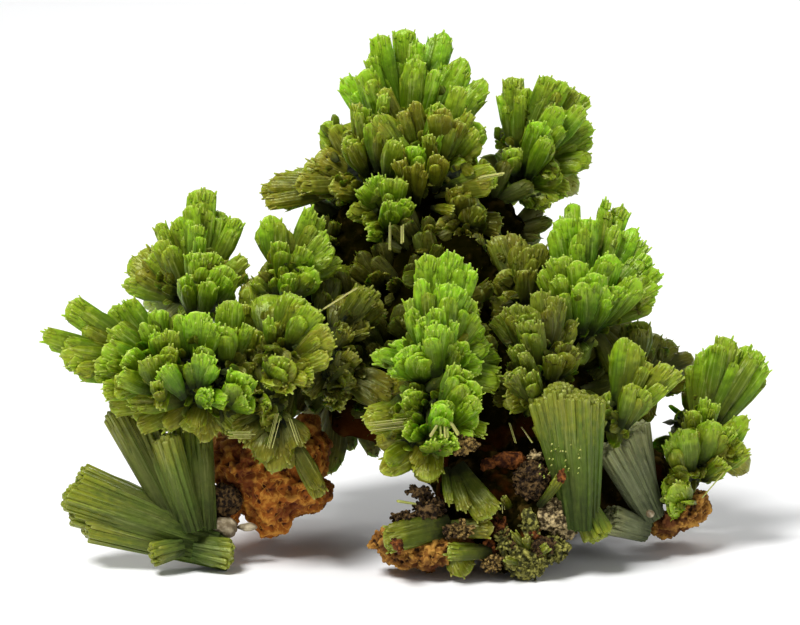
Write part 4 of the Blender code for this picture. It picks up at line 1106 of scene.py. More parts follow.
# %% Fillers and whole sprays
HEART_SHARE = 0.2
NEIGHBOURS = 2
FILLER_ANGLE = radians(48)
FILLER_REACH = 0.8
FILLER_WIDTH = 0.85
FILLER_TONE = -0.2
FILLER_ALONG = 0.85
FLATNESS = 0.45
WIDE_SWAY = (0.95, 1.3)
COMPANIONS = 2
COMPANION_ASIDE = (0.35, 0.6)
COMPANION_LOWER = (0.06, 0.22)
COMPANION_WIDTH = 0.75
COMPANION_TONE = -0.1
COMPANION_ALONG = 0.93
TURNED_AWAY = -0.3
UPWARD_PULL = 0.9
PAINTED_TOP_LIGHT = 0.22
EVEN_LIGHT_AT = 0.4


def filler_tips(fan):
    """Short crowns half way between each crown and its nearest neighbours."""
    heart = np.array(fan.heart)
    tips = np.array(fan.tips)
    arms = tips[:, :3] - heart
    reach = np.linalg.norm(arms, axis=1)
    facing = (arms / reach[:, None]) @ (arms / reach[:, None]).T
    pairs = set()
    for i in range(len(tips)):
        for j in np.argsort(-facing[i])[1:NEIGHBOURS + 1]:
            if facing[i, j] > cos(FILLER_ANGLE):
                pairs.add((min(i, j), max(i, j)))
    made = []
    for i, j in sorted(pairs):
        way = unit(arms[i] / reach[i] + arms[j] / reach[j])
        place = heart + way * FILLER_REACH * min(reach[i], reach[j])
        made.append((*place, FILLER_WIDTH * min(tips[i, 3], tips[j, 3])))
    return made


def upright(way):
    """A growth direction turned up a little if it points at the viewer."""
    facing = max(0.0, way @ TOWARDS_VIEWER)
    return unit(way + PICTURE_UP * UPWARD_PULL * facing * facing)


def grow_fan(fan, seed, front_detail):
    """The sheaves of a fan, each with its fillers and companions."""
    draw = np.random.default_rng(seed)
    heart = seen(fan.heart)
    rows = [(row, 0.0, 1.0, front_detail) for row in fan.tips]
    rows += [(row, FILLER_TONE, FILLER_ALONG, PLAIN) for row in filler_tips(fan)]
    grown = []
    for number, ((*place, wide), tone_shift, reach, detail) in enumerate(rows):
        tip = seen(place)
        way = upright(unit(tip - heart))
        if way @ TOWARDS_VIEWER < TURNED_AWAY:
            detail = PLAIN
        long = np.linalg.norm(tip - heart) * (1 - HEART_SHARE)
        # Sheaves that point up get a brighter tone and those that point down a duller one: painted light from
        # above.
        tone = fan.tone + tone_shift + PAINTED_TOP_LIGHT * (way[2] - EVEN_LIGHT_AT)
        wide *= MM * draw.uniform(*WIDE_SWAY)
        planned = [(tip, wide, tone, detail, reach)]
        if detail is FINE:
            for _ in range(COMPANIONS):
                aside = np.cross(way, unit(draw.normal(0, 1, 3))) * wide * draw.uniform(*COMPANION_ASIDE)
                lower = tip + aside - way * draw.uniform(*COMPANION_LOWER) * long
                planned.append((lower, wide * COMPANION_WIDTH, tone + COMPANION_TONE, PLAIN,
                                reach * COMPANION_ALONG))
        for k, (end, broad, shade, fineness, along) in enumerate(planned):
            grown.append(sheaf(tip - way * long, end, broad, broad * FLATNESS, shade,
                               seed + number + 50 * k, fineness, along))
    return grown


def finish_piece(obj, node, material):
    """Gives a piece its finish, parents it to the body that it rides on and hides the solid that it stands
    for.
    """
    obj.data.materials.append(material)
    if material in (yellow_green, olive_green, bluish_green):
        obj.data.materials.append(painted_shade_crust)
    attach(obj, "root")
    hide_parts(node)


# The sprays listed here get the olive finish. Their olive is partly their own colour and partly painted
# shade, as many of them lie at the back or deep inside.
OLIVE_SPRAYS = {
    "inner_left_spray", "hanging_sheaf", "right_front_spray", "shoulder_spray", "right_back_spray",
    "crown_foot_spray", "slanted_sheaf", "ledge_sheaves", "back_left_spray", "back_right_spray",
    "back_upper_spray",
}
SHEAF_SEEDS = 1000
SHORT_PER_MM2 = 0.5
SHORT_TONE = -0.25
INNER_SHARE = 0.72


def finish_growth(obj, node):
    """Gives a green piece its green, after the kind of growth that it is."""
    if node in OLIVE_SPRAYS:
        finish_piece(obj, node, olive_green)
    elif node in SPRAYS:
        finish_piece(obj, node, yellow_green)
    else:
        finish_piece(obj, node, grey_green if node == "grey_stalks" else bluish_green)
    print(f"{obj.name}: {len(obj.data.polygons)} faces")


def joined_growth(name, grown, seed, more=()):
    """One object from rows of sheaves and from further sets of arrays."""
    parts = [body for body, _, _ in grown]
    for wanted, form in ((FINE, TOOTH), (PLAIN, SPIKE)):
        bunches = [teeth for _, teeth, detail in grown if detail is wanted]
        if bunches:
            parts.append(crystal_arrays(join_bunches(bunches), form, seed))
    return mesh_from_arrays(name, [*parts, *more])


def grow_spray(number, node, fans):
    grown = []
    detail = PLAIN if node.startswith("back_") else FINE
    for place, fan in enumerate(fans):
        grown += grow_fan(fan, SHEAF_SEEDS * number + 100 * place, detail)
    tone = np.mean([fan.tone for fan in fans])
    hearts = [seen(fan.heart) for fan in fans]
    reach = np.mean([np.linalg.norm(seen(row[:3]) - seen(fan.heart)) for fan in fans for row in fan.tips])
    grown += short_sheaves(node, hearts, SHORT_PER_MM2, tone + SHORT_TONE, number,
                           keep=lambda spot, distance: distance < INNER_SHARE * reach)
    finish_growth(joined_growth(f"{node}_crystals", grown, number, [painted_shade_heart(node, tone, hearts)]), node)


for number, (node, fans) in enumerate(SPRAYS.items(), start=1):
    grow_spray(number, node, fans)

# %% [markdown]
# ## Stalks
# The trunk, the stalks and the thick sheaf at the lower left are bundles of long, straight
# crystals that lie side by side, so each is a fluted core set with six-sided prisms. Their
# flanks are bluish or grey-green. The small sheaves that lie on the front ledge are listed
# here too, because each has its own root, but they are grown as smooth sheaves.

# %% Table of stalks
Stalk = namedtuple("Stalk", "root tip wide thick")
STALKS = {
    "left_upright_stalks": (
        Stalk((-22.2, 5.4, 3.8), (-28.6, 17.3, 5.5), 2.9, 2.6),
        Stalk((-21.4, 5.0, 4.0), (-25.6, 16.0, 4.8), 3.0, 2.8),
        Stalk((-20.6, 5.0, 5.6), (-23.6, 14.6, 7.4), 2.6, 2.2),
        Stalk((-19.8, 5.0, 4.0), (-21.0, 17.2, 4.0), 4.0, 3.6),
        Stalk((-21.4, 5.6, 4.0), (-19.0, 6.4, 4.0), 2.4, 2.0),
    ),
    "lower_left_sheaf": (
        Stalk((-19.0, 4.8, 3.5), (-32.3, 10.5, 4.0), 2.5, 3.2),
        Stalk((-17.6, 3.2, 3.5), (-33.7, 8.5, 5.0), 2.6, 3.6),
        Stalk((-16.9, 2.2, 3.3), (-33.1, 6.9, 3.5), 2.4, 3.2),
        Stalk((-17.2, 1.6, 3.0), (-31.4, 5.1, 4.0), 2.2, 3.0),
        Stalk((-21.8, 3.3, 5.0), (-25.1, 2.5, 6.2), 2.2, 2.0),
        Stalk((-20.6, 3.2, 4.6), (-16.5, 2.4, 4.9), 2.9, 2.4),
    ),
    "right_trunk": (
        Stalk((17.4, 6.4, 6.5), (14.0, 18.7, 9.5), 2.4, 2.8),
        Stalk((17.6, 5.4, 7.5), (15.7, 19.7, 10.5), 2.6, 3.0),
        Stalk((18.2, 5.2, 7.5), (17.6, 19.0, 11.0), 2.6, 3.2),
        Stalk((18.8, 5.4, 6.5), (19.1, 18.5, 9.5), 2.4, 3.2),
        Stalk((18.2, 8.0, 5.0), (14.2, 16.0, 7.0), 2.2, 2.4),
        Stalk((18.0, 8.0, 6.5), (20.0, 3.9, 6.5), 3.0, 3.0),
    ),
    "grey_stalks": (
        Stalk((25.0, 6.0, 1.0), (20.6, 13.6, 4.0), 2.4, 2.6),
        Stalk((25.6, 6.4, 0.0), (22.2, 14.6, 2.5), 2.4, 2.6),
        Stalk((25.2, 8.0, -1.0), (24.0, 15.9, 0.5), 1.8, 2.2),
        Stalk((24.6, 4.9, 1.0), (20.4, 6.2, 2.5), 2.8, 3.4),
    ),
    "slanted_sheaf": (
        Stalk((5.6, 11.3, 8.4), (9.2, 6.4, 10.8), 2.4, 1.3),
        Stalk((5.2, 11.0, 8.6), (6.6, 6.9, 10.6), 1.3, 1.0),
        Stalk((13.9, 7.4, 8.4), (16.0, 10.2, 10.4), 0.8, 0.8),
        Stalk((4.6, 11.2, 8.4), (5.2, 7.6, 10.0), 1.0, 0.9),
    ),
    "ledge_sheaves": (
        Stalk((5.0, 5.4, 8.5), (-1.7, 3.9, 10.0), 2.6, 2.2),
        Stalk((9.0, 2.8, 8.5), (4.7, 2.7, 10.6), 1.5, 1.3),
        Stalk((5.6, 2.6, 7.5), (6.6, 0.35, 8.5), 2.2, 0.9),
        Stalk((4.0, 5.2, 8.5), (9.4, 5.2, 10.2), 1.6, 1.2),
        Stalk((12.8, 2.8, 7.6), (11.3, 4.7, 9.6), 0.7, 0.7),
        Stalk((12.8, 2.6, 7.6), (12.6, 4.3, 10.0), 0.7, 0.6),
        Stalk((12.6, 1.6, 7.6), (10.6, 2.0, 9.7), 0.6, 0.6),
        Stalk((13.4, 2.4, 7.6), (14.8, 3.4, 9.6), 0.8, 0.7),
        Stalk((11.0, 7.0, 7.0), (10.4, 8.2, 9.0), 0.7, 0.6),
    ),
}
STALK_TONES = {
    "left_upright_stalks": 0.35, "lower_left_sheaf": 0.5, "right_trunk": 0.65, "grey_stalks": 0.0,
    "slanted_sheaf": 0.5, "ledge_sheaves": 0.35,
}
SMOOTH_STALKS = {"slanted_sheaf", "ledge_sheaves"}
FILLED_STALKS = {"lower_left_sheaf", "right_trunk", "grey_stalks"}
FILLED_ROWS = 4
FILLER_SHORTER = 0.03
SMOOTH_WIDER = 1.15
STALK_ROOT = 0.72
PRISM_SPACING = 0.46 * MM
PRISM_WIDTH = (0.52 * MM, 0.76 * MM)
PRISM_DROP = (-0.1 * MM, 0.35 * MM)
PRISM_TAPER = 0.8
PRISM_TONE_SWAY = 0.07
PRISM_ALONG = (0.88, 0.98)
DOME = 0.16
STALK_LOBES = 7
print("stalks in the table:", sum(len(stalks) for stalks in STALKS.values()))

# %% [markdown]
# ## Grow the stalks
# In a real bundle the crystals touch along their whole length, and their ends make one low
# dome. So prisms are packed side by side over an oval in the golden angle, and between two
# neighbours of a row stands a third stalk, a little shorter. A fluted cylinder alone would be
# lighter, but it would look turned and not grown.

# %% Cores, prisms and smooth sheaves


def between(first, second):
    """A stalk half way between two neighbours, a little shorter."""
    root, tip, wide, thick = [(np.array(a) + np.array(b)) / 2 for a, b in zip(first, second)]
    return Stalk(root, tip - (tip - root) * FILLER_SHORTER, wide, thick)


def stalk_prisms(root, tip, wide, thick, tone, draw):
    """Long prisms packed side by side over an oval, with a low dome for a crown."""
    axis, side, deep = across_and_deep(root, tip)
    count = int(wide * thick / PRISM_SPACING ** 2)
    rows = []
    for k in range(count):
        out, turn = sqrt((k + 0.5) / count), k * GOLDEN_ANGLE
        place = side * cos(turn) * out * wide / 2 + deep * sin(turn) * out * thick / 2
        drop = DOME * wide * out * out + draw.uniform(*PRISM_DROP)
        width = draw.uniform(*PRISM_WIDTH)
        rows.append((root + place * STALK_ROOT, tip + place - axis * drop, width * PRISM_TAPER, width,
                     tone + draw.uniform(-PRISM_TONE_SWAY, PRISM_TONE_SWAY), 0.1, draw.uniform(*PRISM_ALONG)))
    return rows


for number, (node, stalks) in enumerate(STALKS.items(), start=50):
    rows = list(stalks)
    if node in FILLED_STALKS:
        rows += [between(a, b) for a, b in zip(stalks[:FILLED_ROWS], stalks[1:FILLED_ROWS])]
    draw = np.random.default_rng(number)
    tone = STALK_TONES[node]
    grown, prisms = [], []
    for place, stalk in enumerate(rows):
        root, tip = seen(stalk.root), seen(stalk.tip)
        wide, thick = stalk.wide * MM, stalk.thick * MM
        seed = SHEAF_SEEDS * number + place
        if node in SMOOTH_STALKS:
            grown.append(sheaf(root, tip, wide * SMOOTH_WIDER, thick, tone, seed, FINE, 1.0,
                               root_width=STALK_ROOT))
        else:
            core_tip = tip - unit(tip - root) * DOME * wide
            grown.append(sheaf(root, core_tip, wide, thick, tone, seed, ROUND, 1.0, lobes=STALK_LOBES,
                               root_width=STALK_ROOT))
            prisms += stalk_prisms(root, tip, wide, thick, tone, draw)
    prism_arrays = [crystal_arrays(bunch_of(prisms), CRYSTAL, number)] if prisms else []
    finish_growth(joined_growth(f"{node}_crystals", grown, number, prism_arrays), node)

# %% [markdown]
# ## Rock finishes
# Limonite is rust: golden where its thin walls catch the light and dark brown in its pores.
# The ledges are browner than the block. Gossan is the near-black rock around it, with rusty
# patches. The finish reads how far each point was pushed out when the rock was roughened, so
# colour and form agree, and it darkens the rock near its foot.

# %% Node group: weathered rock
PORES = 0.7
FOOT_DARKNESS = 0.75
DARK_BELOW = 0.011
LIGHT_ABOVE = 0.016


def weathered_rock_group():
    group, given, result = new_group(
        "Weathered rock",
        [("Relief", "Float"), ("Place", "Vector"), ("Pit", "Color"), ("Face", "Color"), ("Ridge", "Color"),
         ("Stain", "Color"), ("Stain share", "Float"), ("Threads", "Float")],
        [("Colour", "Color"), ("Height", "Float")],
    )
    fine = noise(group, given["Place"], 2600.0, 3.0)
    broad = noise(group, given["Place"], 260.0, 3.0)
    relief = waver(group, given["Relief"], fine, PORES)
    colour = mix_colours(group, smooth_step(group, relief, 0.1, 0.5), given["Pit"], given["Face"])
    colour = mix_colours(group, smooth_step(group, relief, 0.55, 1.0), colour, given["Ridge"])
    from_middle = sums(group, "ADD", noise(group, given["Place"], 800.0, 2.0), -0.5)
    near_middle = smooth_step(group, sums(group, "ABSOLUTE", from_middle), 0.035, 0.0)
    threads = sums(group, "MULTIPLY", near_middle, given["Threads"])
    colour = mix_colours(group, threads, colour, given["Ridge"])
    place = add_node(group, "ShaderNodeSeparateXYZ", inputs={"Vector": given["Place"]})
    low_down = smooth_step(group, place.outputs["Z"], LIGHT_ABOVE, DARK_BELOW)
    foot_colour = mix_colours(group, FOOT_DARKNESS, colour, given["Pit"])
    colour = mix_colours(group, low_down, foot_colour, colour)
    stained = sums(group, "MULTIPLY", smooth_step(group, broad, 0.5, 0.62), given["Stain share"])
    stained = sums(group, "MULTIPLY", stained, low_down)
    set_inputs(group, result, {"Colour": mix_colours(group, stained, colour, given["Stain"]), "Height": fine})
    return group


weathered_rock = weathered_rock_group()


def rock_finish(name, pit, face, ridge, stain, stain_share, threads, specular):
    material, tree, shader = new_finish(name)
    rock = add_node(tree, "ShaderNodeGroup", {"node_tree": weathered_rock}, {
        "Relief": attribute(tree, "relief"),
        "Place": object_place(tree),
        "Pit": paint(*pit),
        "Face": paint(*face),
        "Ridge": paint(*ridge),
        "Stain": paint(*stain),
        "Stain share": stain_share,
        "Threads": threads,
    })
    set_inputs(tree, shader, {
        "Base Color": rock.outputs["Colour"],
        "Normal": bumps(tree, rock.outputs["Height"], strength=0.6, distance=0.0002),
        "Roughness": 0.8,
        "Specular IOR Level": specular,
    })
    return material


limonite = rock_finish("rusty_sponge", (58, 24, 6), (152, 84, 22), (204, 142, 54), (92, 38, 14),
                       stain_share=0.7, threads=0.8, specular=0.2)
brown_limonite = rock_finish("brown_sponge_rock", (44, 22, 6), (122, 78, 26), (180, 132, 56), (80, 40, 14),
                             stain_share=0.9, threads=0.8, specular=0.2)
gossan = rock_finish("dark_rock", (9, 9, 0), (24, 20, 4), (64, 50, 20), (84, 40, 10),
                     stain_share=0.6, threads=0.0, specular=0.0)
print("rock finishes:", limonite.name, brown_limonite.name, gossan.name)

# %% [markdown]
# ## Roughen the rock
# The solids give the rock its form. A voxel remesh of a copy gives an even skin, and Displace
# modifiers roughen it at three sizes: clouds for lumps, Voronoi cells for the sponge of thin
# walls, and fine clouds for grit. Sculpting by hand would also work, but this way every side
# is finished alike.

# %% Rock pieces
RELIEF_RANGE = 0.35 * MM


def cell_texture(name, size):
    texture = bpy.data.textures.new(name, "VORONOI")
    texture.noise_scale = size
    texture.distance_metric = "DISTANCE"
    return texture


lump_clouds = cloud_texture("lump_clouds", 0.0035)
grit_clouds = cloud_texture("grit_clouds", 0.0004)
sponge_cells = cell_texture("sponge_cells", 0.0009)


def roughen(obj, texture, strength, middle=0.5):
    """Moves each point along its normal, outwards where the texture is above its middle value."""
    apply_modifier(obj, "DISPLACE", strength=strength, mid_level=middle, texture=texture,
                   texture_coords="LOCAL")


def rough_rock(node, material, voxel, lumps, cells, grit):
    rock = copy_of_solid(node, f"{node}_rock")
    apply_modifier(rock, "REMESH", mode="VOXEL", voxel_size=voxel)
    apply_modifier(rock, "SMOOTH", factor=0.5, iterations=3)
    roughen(rock, lump_clouds, lumps, middle=0.6)
    before = mesh_values(rock.data.vertices, "co", float, 3)
    normals = np.array([vert.normal[:] for vert in rock.data.vertices])
    roughen(rock, sponge_cells, cells)
    roughen(rock, grit_clouds, grit)
    after = mesh_values(rock.data.vertices, "co", float, 3)
    pushed = ((after - before) * normals).sum(1)
    after[:, 2] = np.maximum(after[:, 2], 0)
    rock.data.vertices.foreach_set("co", after.ravel())
    layer = rock.data.attributes.new("relief", "FLOAT", "POINT")
    layer.data.foreach_set("value", (0.5 + pushed / (2 * RELIEF_RANGE)).astype(np.float32))
    rock.data.shade_smooth()
    finish_piece(rock, node, material)
    print(f"{rock.name}: {len(rock.data.polygons)} faces, "
          f"pushed {pushed.min() / MM:.2f} to {pushed.max() / MM:.2f} mm")


rough_rock("limonite_block", limonite, voxel=0.00023, lumps=0.0008, cells=0.0008, grit=0.0006)
for node in ("limonite_ledge_front", "limonite_ledge_right"):
    rough_rock(node, brown_limonite, voxel=0.00017, lumps=0.0006, cells=0.0010, grit=0.0009)
rough_rock("gossan_core", gossan, voxel=0.0005, lumps=0.0012, cells=0.0008, grit=0.0004)

# %% [markdown]
# ## Crust on the gossan
# Above its foot the rock is hidden: small fans of olive sheaves stand all over it, between
# and behind the sprays. They are kept dark, short of their bright tip colour, as painted shade
# for the hollows between the sprays. A druse of small dark crystals covers all of the rock, also its foot.

# %% Sheaves and small crystals on the rock
CRUST_FROM = 0.0135
HEART_ROOM = 3.7 * MM
SPRAY_HEARTS = np.array([seen(fan.heart) for fans in SPRAYS.values() for fan in fans])
ROSETTE_SHEAVES = 6
ROSETTE_SPREAD = 0.55
ROSETTE_LENGTH = (3.2 * MM, 5.2 * MM)
ROSETTE_WIDTH = 0.36
ROSETTE_THICKNESS = 0.2
ROSETTE_SUNK = 1.5 * MM
ROSETTE_LEAN = 0.5
ROSETTE_LIFT = 0.5
LEAST_OUTWARD = 0.5
ROSETTE_TONE_SWAY = 0.3
ROSETTE_SHADED_ALONG = (0.45, 0.85)


def between_sprays(spot, distance):
    """True for places above the foot that no spray grows over."""
    nearest = np.linalg.norm(spot[:, None] - SPRAY_HEARTS, axis=2).min(1)
    return (spot[:, 2] > CRUST_FROM) & (nearest > HEART_ROOM)


def rosettes(node, hearts, per_mm2, tone, seed, keep):
    """Small fans of sheaves, darkened as painted shade, that stand all over a CAD node."""
    draw = np.random.default_rng(seed)
    grown = []
    for spot, normal, way in zip(*spots_on(node, hearts, per_mm2, ROSETTE_LEAN, draw, keep)):
        root = spot - normal * ROSETTE_SUNK
        middle = unit(way + (0, 0, ROSETTE_LIFT))
        shade = tone + draw.uniform(-ROSETTE_TONE_SWAY, ROSETTE_TONE_SWAY)
        for _ in range(ROSETTE_SHEAVES):
            towards = unit(middle + draw.normal(0, ROSETTE_SPREAD, 3))
            towards = unit(towards + normal * max(0.0, LEAST_OUTWARD - towards @ normal))
            length = draw.uniform(*ROSETTE_LENGTH)
            grown.append(sheaf(root, root + towards * length, length * ROSETTE_WIDTH,
                               length * ROSETTE_THICKNESS, shade, int(draw.integers(MOST_SEEDS)), PLAIN,
                               draw.uniform(*ROSETTE_SHADED_ALONG)))
    return grown


def finish_extra(obj, material, slot):
    """Gives a piece that stands for no solid its finish and the body that it rides on."""
    obj.data.materials.append(material)
    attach(obj, "root")
    print(f"{obj.name}: {len(obj.data.polygons)} faces")


rock_heart = sum(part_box("gossan_core"), Vector()) / 2
crust = rosettes("gossan_core", [rock_heart], 0.08, 0.2, 91, between_sprays)
print("rosette sheaves:", len(crust))
rock_druse = druse("gossan_core", [rock_heart], 0.3, 0.15, 90)
finish_extra(joined_growth("gossan_crust", crust, 91, [crystal_arrays(rock_druse, SPIKE, 90)]),
             olive_green, "olive_green_crystal")

# %% [markdown]
# ## Lumps and grains of the foot
# The foot is a jumble of brown and light sponge, rust, grey grains and yellow-green moss-like
# crust, with a few pale grains beside the stalks. Each lump is an ico sphere that is drawn
# out, roughened with the same textures as the rock and set into it. Grains are stubby
# crystals that point away from the lump's middle.

# %% Table of lumps
Lump = namedtuple("Lump", "place size grains")
LUMPS = {
    "brown_sponge": (
        Lump((2.9, 6.9, 8.2), (1.4, 1.5, 1.3), 110),
        Lump((5.4, 4.9, 9.6), (0.9, 0.6, 0.6), 40),
        Lump((13.2, 9.9, 8.0), (1.7, 1.9, 1.2), 130),
        Lump((8.9, 8.6, 6.0), (1.2, 1.4, 1.2), 60),
        Lump((14.2, 3.4, 8.2), (1.1, 0.7, 0.7), 60),
        Lump((11.0, 3.6, 8.0), (0.8, 0.7, 0.7), 40),
        Lump((1.8, 8.9, 8.8), (1.1, 0.3, 0.4), 30),
        Lump((0.2, 6.3, 9.2), (1.0, 0.5, 0.4), 30),
        Lump((-17.8, 7.9, 2.4), (1.7, 2.0, 1.4), 0),
    ),
    "light_sponge": (
        Lump((5.7, 13.5, 12.4), (2.0, 0.7, 1.2), 130),
        Lump((6.2, 5.1, 10.2), (0.9, 0.6, 0.5), 50),
        Lump((9.2, 1.8, 8.4), (0.9, 0.8, 0.7), 50),
        Lump((10.4, 4.6, 8.6), (0.5, 0.5, 0.4), 20),
    ),
    "rust": (
        Lump((10.9, 11.9, 6.4), (1.7, 0.8, 0.7), 0),
        Lump((8.8, 11.0, 6.4), (0.8, 1.2, 0.7), 0),
        Lump((10.1, 5.3, 8.7), (0.6, 0.8, 0.5), 12),
        Lump((13.2, 4.5, 8.0), (0.8, 0.55, 0.5), 14),
        Lump((8.9, 3.2, 8.2), (0.8, 0.9, 0.7), 20),
        Lump((-0.2, 3.4, 11.2), (0.45, 0.5, 0.3), 14),
        Lump((16.1, 10.4, 11.0), (0.5, 0.4, 0.4), 10),
    ),
    "grey_grains": (
        Lump((15.3, 6.5, 7.2), (2.2, 1.4, 1.2), 190),
        Lump((13.6, 12.4, 7.4), (0.7, 0.35, 0.4), 16),
        Lump((16.4, 4.9, 6.6), (1.1, 0.8, 0.8), 50),
    ),
    "moss": (
        Lump((12.9, 5.0, 7.6), (0.9, 2.2, 0.9), 110),
        Lump((11.8, 2.3, 7.8), (1.5, 1.2, 1.2), 120),
        Lump((13.8, 2.6, 7.4), (1.3, 1.3, 1.2), 110),
        Lump((12.6, 1.2, 7.2), (1.6, 0.9, 1.1), 110),
        Lump((15.4, 3.2, 6.6), (1.3, 1.3, 1.1), 100),
        Lump((10.4, 3.8, 8.4), (0.7, 1.4, 0.6), 50),
    ),
    "pale_grains": (
        Lump((-17.4, 5.3, 3.6), (1.3, 0.9, 0.8), 0),
        Lump((-15.2, 5.3, 3.2), (1.1, 0.4, 0.6), 0),
        Lump((25.0, 6.6, 3.6), (0.4, 0.4, 0.3), 0),
    ),
}
LUMP_FINISHES = {
    "brown_sponge": (crust_finish("brown_sponge", (28, 17, 8), (106, 82, 48), 2600.0), "gossan"),
    "light_sponge": (crust_finish("light_sponge", (50, 36, 14), (172, 142, 80), 2600.0), "gossan"),
    "rust": (crust_finish("dark_rust", (52, 22, 8), (138, 80, 34), 1800.0), "limonite"),
    "grey_grains": (crust_finish("grey_grains", (60, 48, 26), (200, 178, 128), 2400.0, 0.4), "gossan"),
    "moss": (crust_finish("moss_crust", (50, 50, 16), (164, 160, 78), 2000.0, 0.5), "olive_green_crystal"),
    "pale_grains": (crust_finish("pale_grains", (104, 90, 66), (190, 176, 146), 700.0, 0.4), "gossan"),
}
print("lumps in the table:", sum(len(lumps) for lumps in LUMPS.values()))

# %% [markdown]
# ## Shape the lumps
# Sponge and rust have no even side, so nothing may show of the ball under them: it is pushed
# in and out at three sizes. Grains are then set on it in all directions. Each material of the
# foot becomes one piece. Sculpting the lumps one by one would also work, but there are some
# thirty of them, and one rule keeps them alike.

# %% Rough balls with grains on them
BIG_LUMP = 1.25
LUMP_ROUGHNESS = ((lump_clouds, 0.9), (sponge_cells, 0.6), (grit_clouds, 0.3))
GRAIN_LENGTH = (0.3 * MM, 0.6 * MM)
GRAIN_WIDTH = (0.24 * MM, 0.46 * MM)
GRAIN_SUNK = 0.2 * MM
GRAIN_FOOT = 0.9
GRAIN_SWAY = 0.5


def rough_lump(lump):
    """A drawn-out ball, roughened, with its corners and faces as arrays."""
    deselect_all()
    bpy.ops.mesh.primitive_ico_sphere_add(subdivisions=4 if max(lump.size) > BIG_LUMP else 3, radius=1,
                                          location=seen(lump.place))
    ball = bpy.context.object
    wide, high, deep = lump.size
    ball.scale = (wide * MM, deep * MM, high * MM)
    bpy.ops.object.transform_apply(location=True, rotation=False, scale=True)
    for texture, share in LUMP_ROUGHNESS:
        roughen(ball, texture, min(lump.size) * MM * share)
    return object_arrays(ball, 0.5, 0.5, finish=0)


def grains_on(lump, draw):
    """A bunch of stubby crystals that point away from a lump's middle."""
    outward = unit(draw.normal(0, 1, (lump.grains, 3)))
    wide, high, deep = lump.size
    foot = seen(lump.place) + outward * np.array((wide, deep, high)) * MM * GRAIN_FOOT
    way = unit(outward + draw.normal(0, GRAIN_SWAY, outward.shape))
    length = draw.uniform(*GRAIN_LENGTH, lump.grains)
    width = draw.uniform(*GRAIN_WIDTH, lump.grains)
    shade = draw.uniform(0, 1, lump.grains)
    still = np.zeros(lump.grains)
    return Bunch(foot - way * GRAIN_SUNK, foot + way * length[:, None], width, width, shade, still, still + 1,
                 still)


for number, (name, lumps) in enumerate(LUMPS.items(), start=70):
    draw = np.random.default_rng(number)
    parts = [rough_lump(lump) for lump in lumps]
    bunches = [grains_on(lump, draw) for lump in lumps if lump.grains]
    if bunches:
        parts.append(crystal_arrays(join_bunches(bunches), CRYSTAL, number))
    finish_extra(mesh_from_arrays(f"foot_{name}", parts), *LUMP_FINISHES[name])

# %% [markdown]
# ## Needles with painted glints
# A few thin crystals and striated edges are painted almost white, as painted glints. Each row of
# the table is a root, a tip, a width, how many needles there are and how wide a space their
# tips are spread over, all in millimetres as the camera sees them. The last two rows are
# painted sparkles on the trunk.

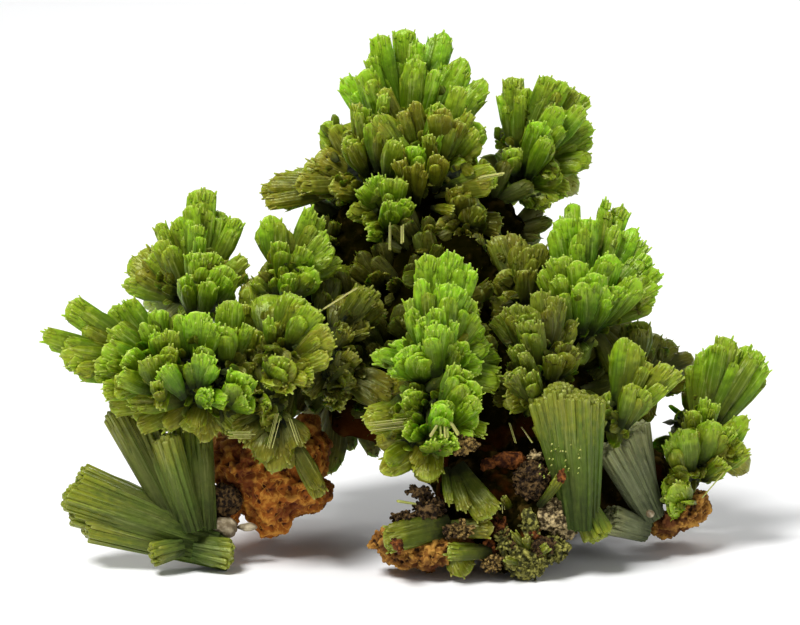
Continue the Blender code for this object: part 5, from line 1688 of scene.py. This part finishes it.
# %% Table of needles
Needles = namedtuple("Needles", "root tip wide count apart")
NEEDLES = (
    Needles((-1.0, 35.6, -1.0), (-1.0, 33.1, -0.4), 0.24, 3, 0.3),
    Needles((0.2, 35.4, -1.0), (0.2, 33.6, -0.4), 0.22, 3, 0.3),
    Needles((30.2, 8.2, 0.0), (32.5, 10.9, 0.3), 0.2, 1, 0.0),
    Needles((7.8, 40.3, -2.0), (10.2, 40.7, -1.2), 0.16, 4, 0.5),
    Needles((-14.8, 14.5, 11.2), (-17.0, 14.5, 11.9), 0.08, 12, 0.7),
    Needles((-7.7, 27.0, 6.6), (-4.4, 29.1, 5.2), 0.13, 4, 0.3),
    Needles((4.0, 16.0, 13.8), (3.0, 14.4, 15.4), 0.32, 2, 0.4),
    Needles((4.3, 16.0, 13.8), (4.4, 14.0, 15.6), 0.32, 3, 0.8),
    Needles((4.8, 16.0, 13.8), (5.9, 14.3, 15.4), 0.32, 3, 0.6),
    Needles((0.6, 15.7, 12.4), (-2.8, 15.3, 11.2), 0.08, 18, 1.0),
    Needles((-12.2, 16.4, 9.9), (-13.0, 13.4, 10.4), 0.08, 7, 0.7),
    Needles((-10.8, 15.9, 9.6), (-10.0, 13.6, 9.7), 0.08, 9, 0.8),
    Needles((11.0, 15.8, 6.4), (11.6, 13.8, 7.4), 0.08, 2, 0.5),
    Needles((10.4, 8.8, 7.4), (10.5, 6.8, 8.2), 0.1, 2, 0.5),
    Needles((12.2, 15.4, 6.6), (13.3, 13.8, 7.8), 0.08, 2, 0.5),
    Needles((1.6, 7.6, 8.8), (-0.3, 7.9, 9.4), 0.4, 1, 0.0),
    Needles((16.4, 12.0, 10.2), (16.5, 12.1, 11.1), 0.16, 22, 3.2),
    Needles((14.6, 10.8, 9.4), (14.7, 10.9, 10.3), 0.16, 8, 1.6),
)
NEEDLE_WIDTH_SWAY = (0.7, 1.2)
NEEDLE_TAPER = 0.8
NEEDLE_TONE = (0.1, 0.5)
NEEDLE_ALONG = (0.3, 0.9)
NEEDLE_GLINT_SHARE = (0.2, 1.0)
NEEDLE_DEPTH = 0.3
draw = np.random.default_rng(60)
rows = []
for needles in NEEDLES:
    for _ in range(needles.count):
        aside = draw.uniform(-0.5, 0.5, 3) * needles.apart * (1, 1, NEEDLE_DEPTH)
        root = seen(np.array(needles.root) + aside)
        tip = seen(np.array(needles.tip) + aside)
        wide = needles.wide * MM * draw.uniform(*NEEDLE_WIDTH_SWAY)
        rows.append((root, tip, wide * NEEDLE_TAPER, wide, draw.uniform(*NEEDLE_TONE), *NEEDLE_ALONG))
# The glint share paints the needles towards the near-white glint colour: painted glints.
bunch = bunch_of(rows)._replace(frost=draw.uniform(*NEEDLE_GLINT_SHARE, len(rows)))
finish_extra(mesh_from_arrays("needles_with_painted_glints", [crystal_arrays(bunch, CRYSTAL, 60)]),
             olive_green, "olive_green_crystal")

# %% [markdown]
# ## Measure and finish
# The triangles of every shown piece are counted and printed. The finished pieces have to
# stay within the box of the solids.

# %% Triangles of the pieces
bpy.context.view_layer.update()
total = 0
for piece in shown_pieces():
    piece.data.calc_loop_triangles()
    total += len(piece.data.loop_triangles)
    print(piece.name, len(piece.data.loop_triangles))
print("triangles:", total)
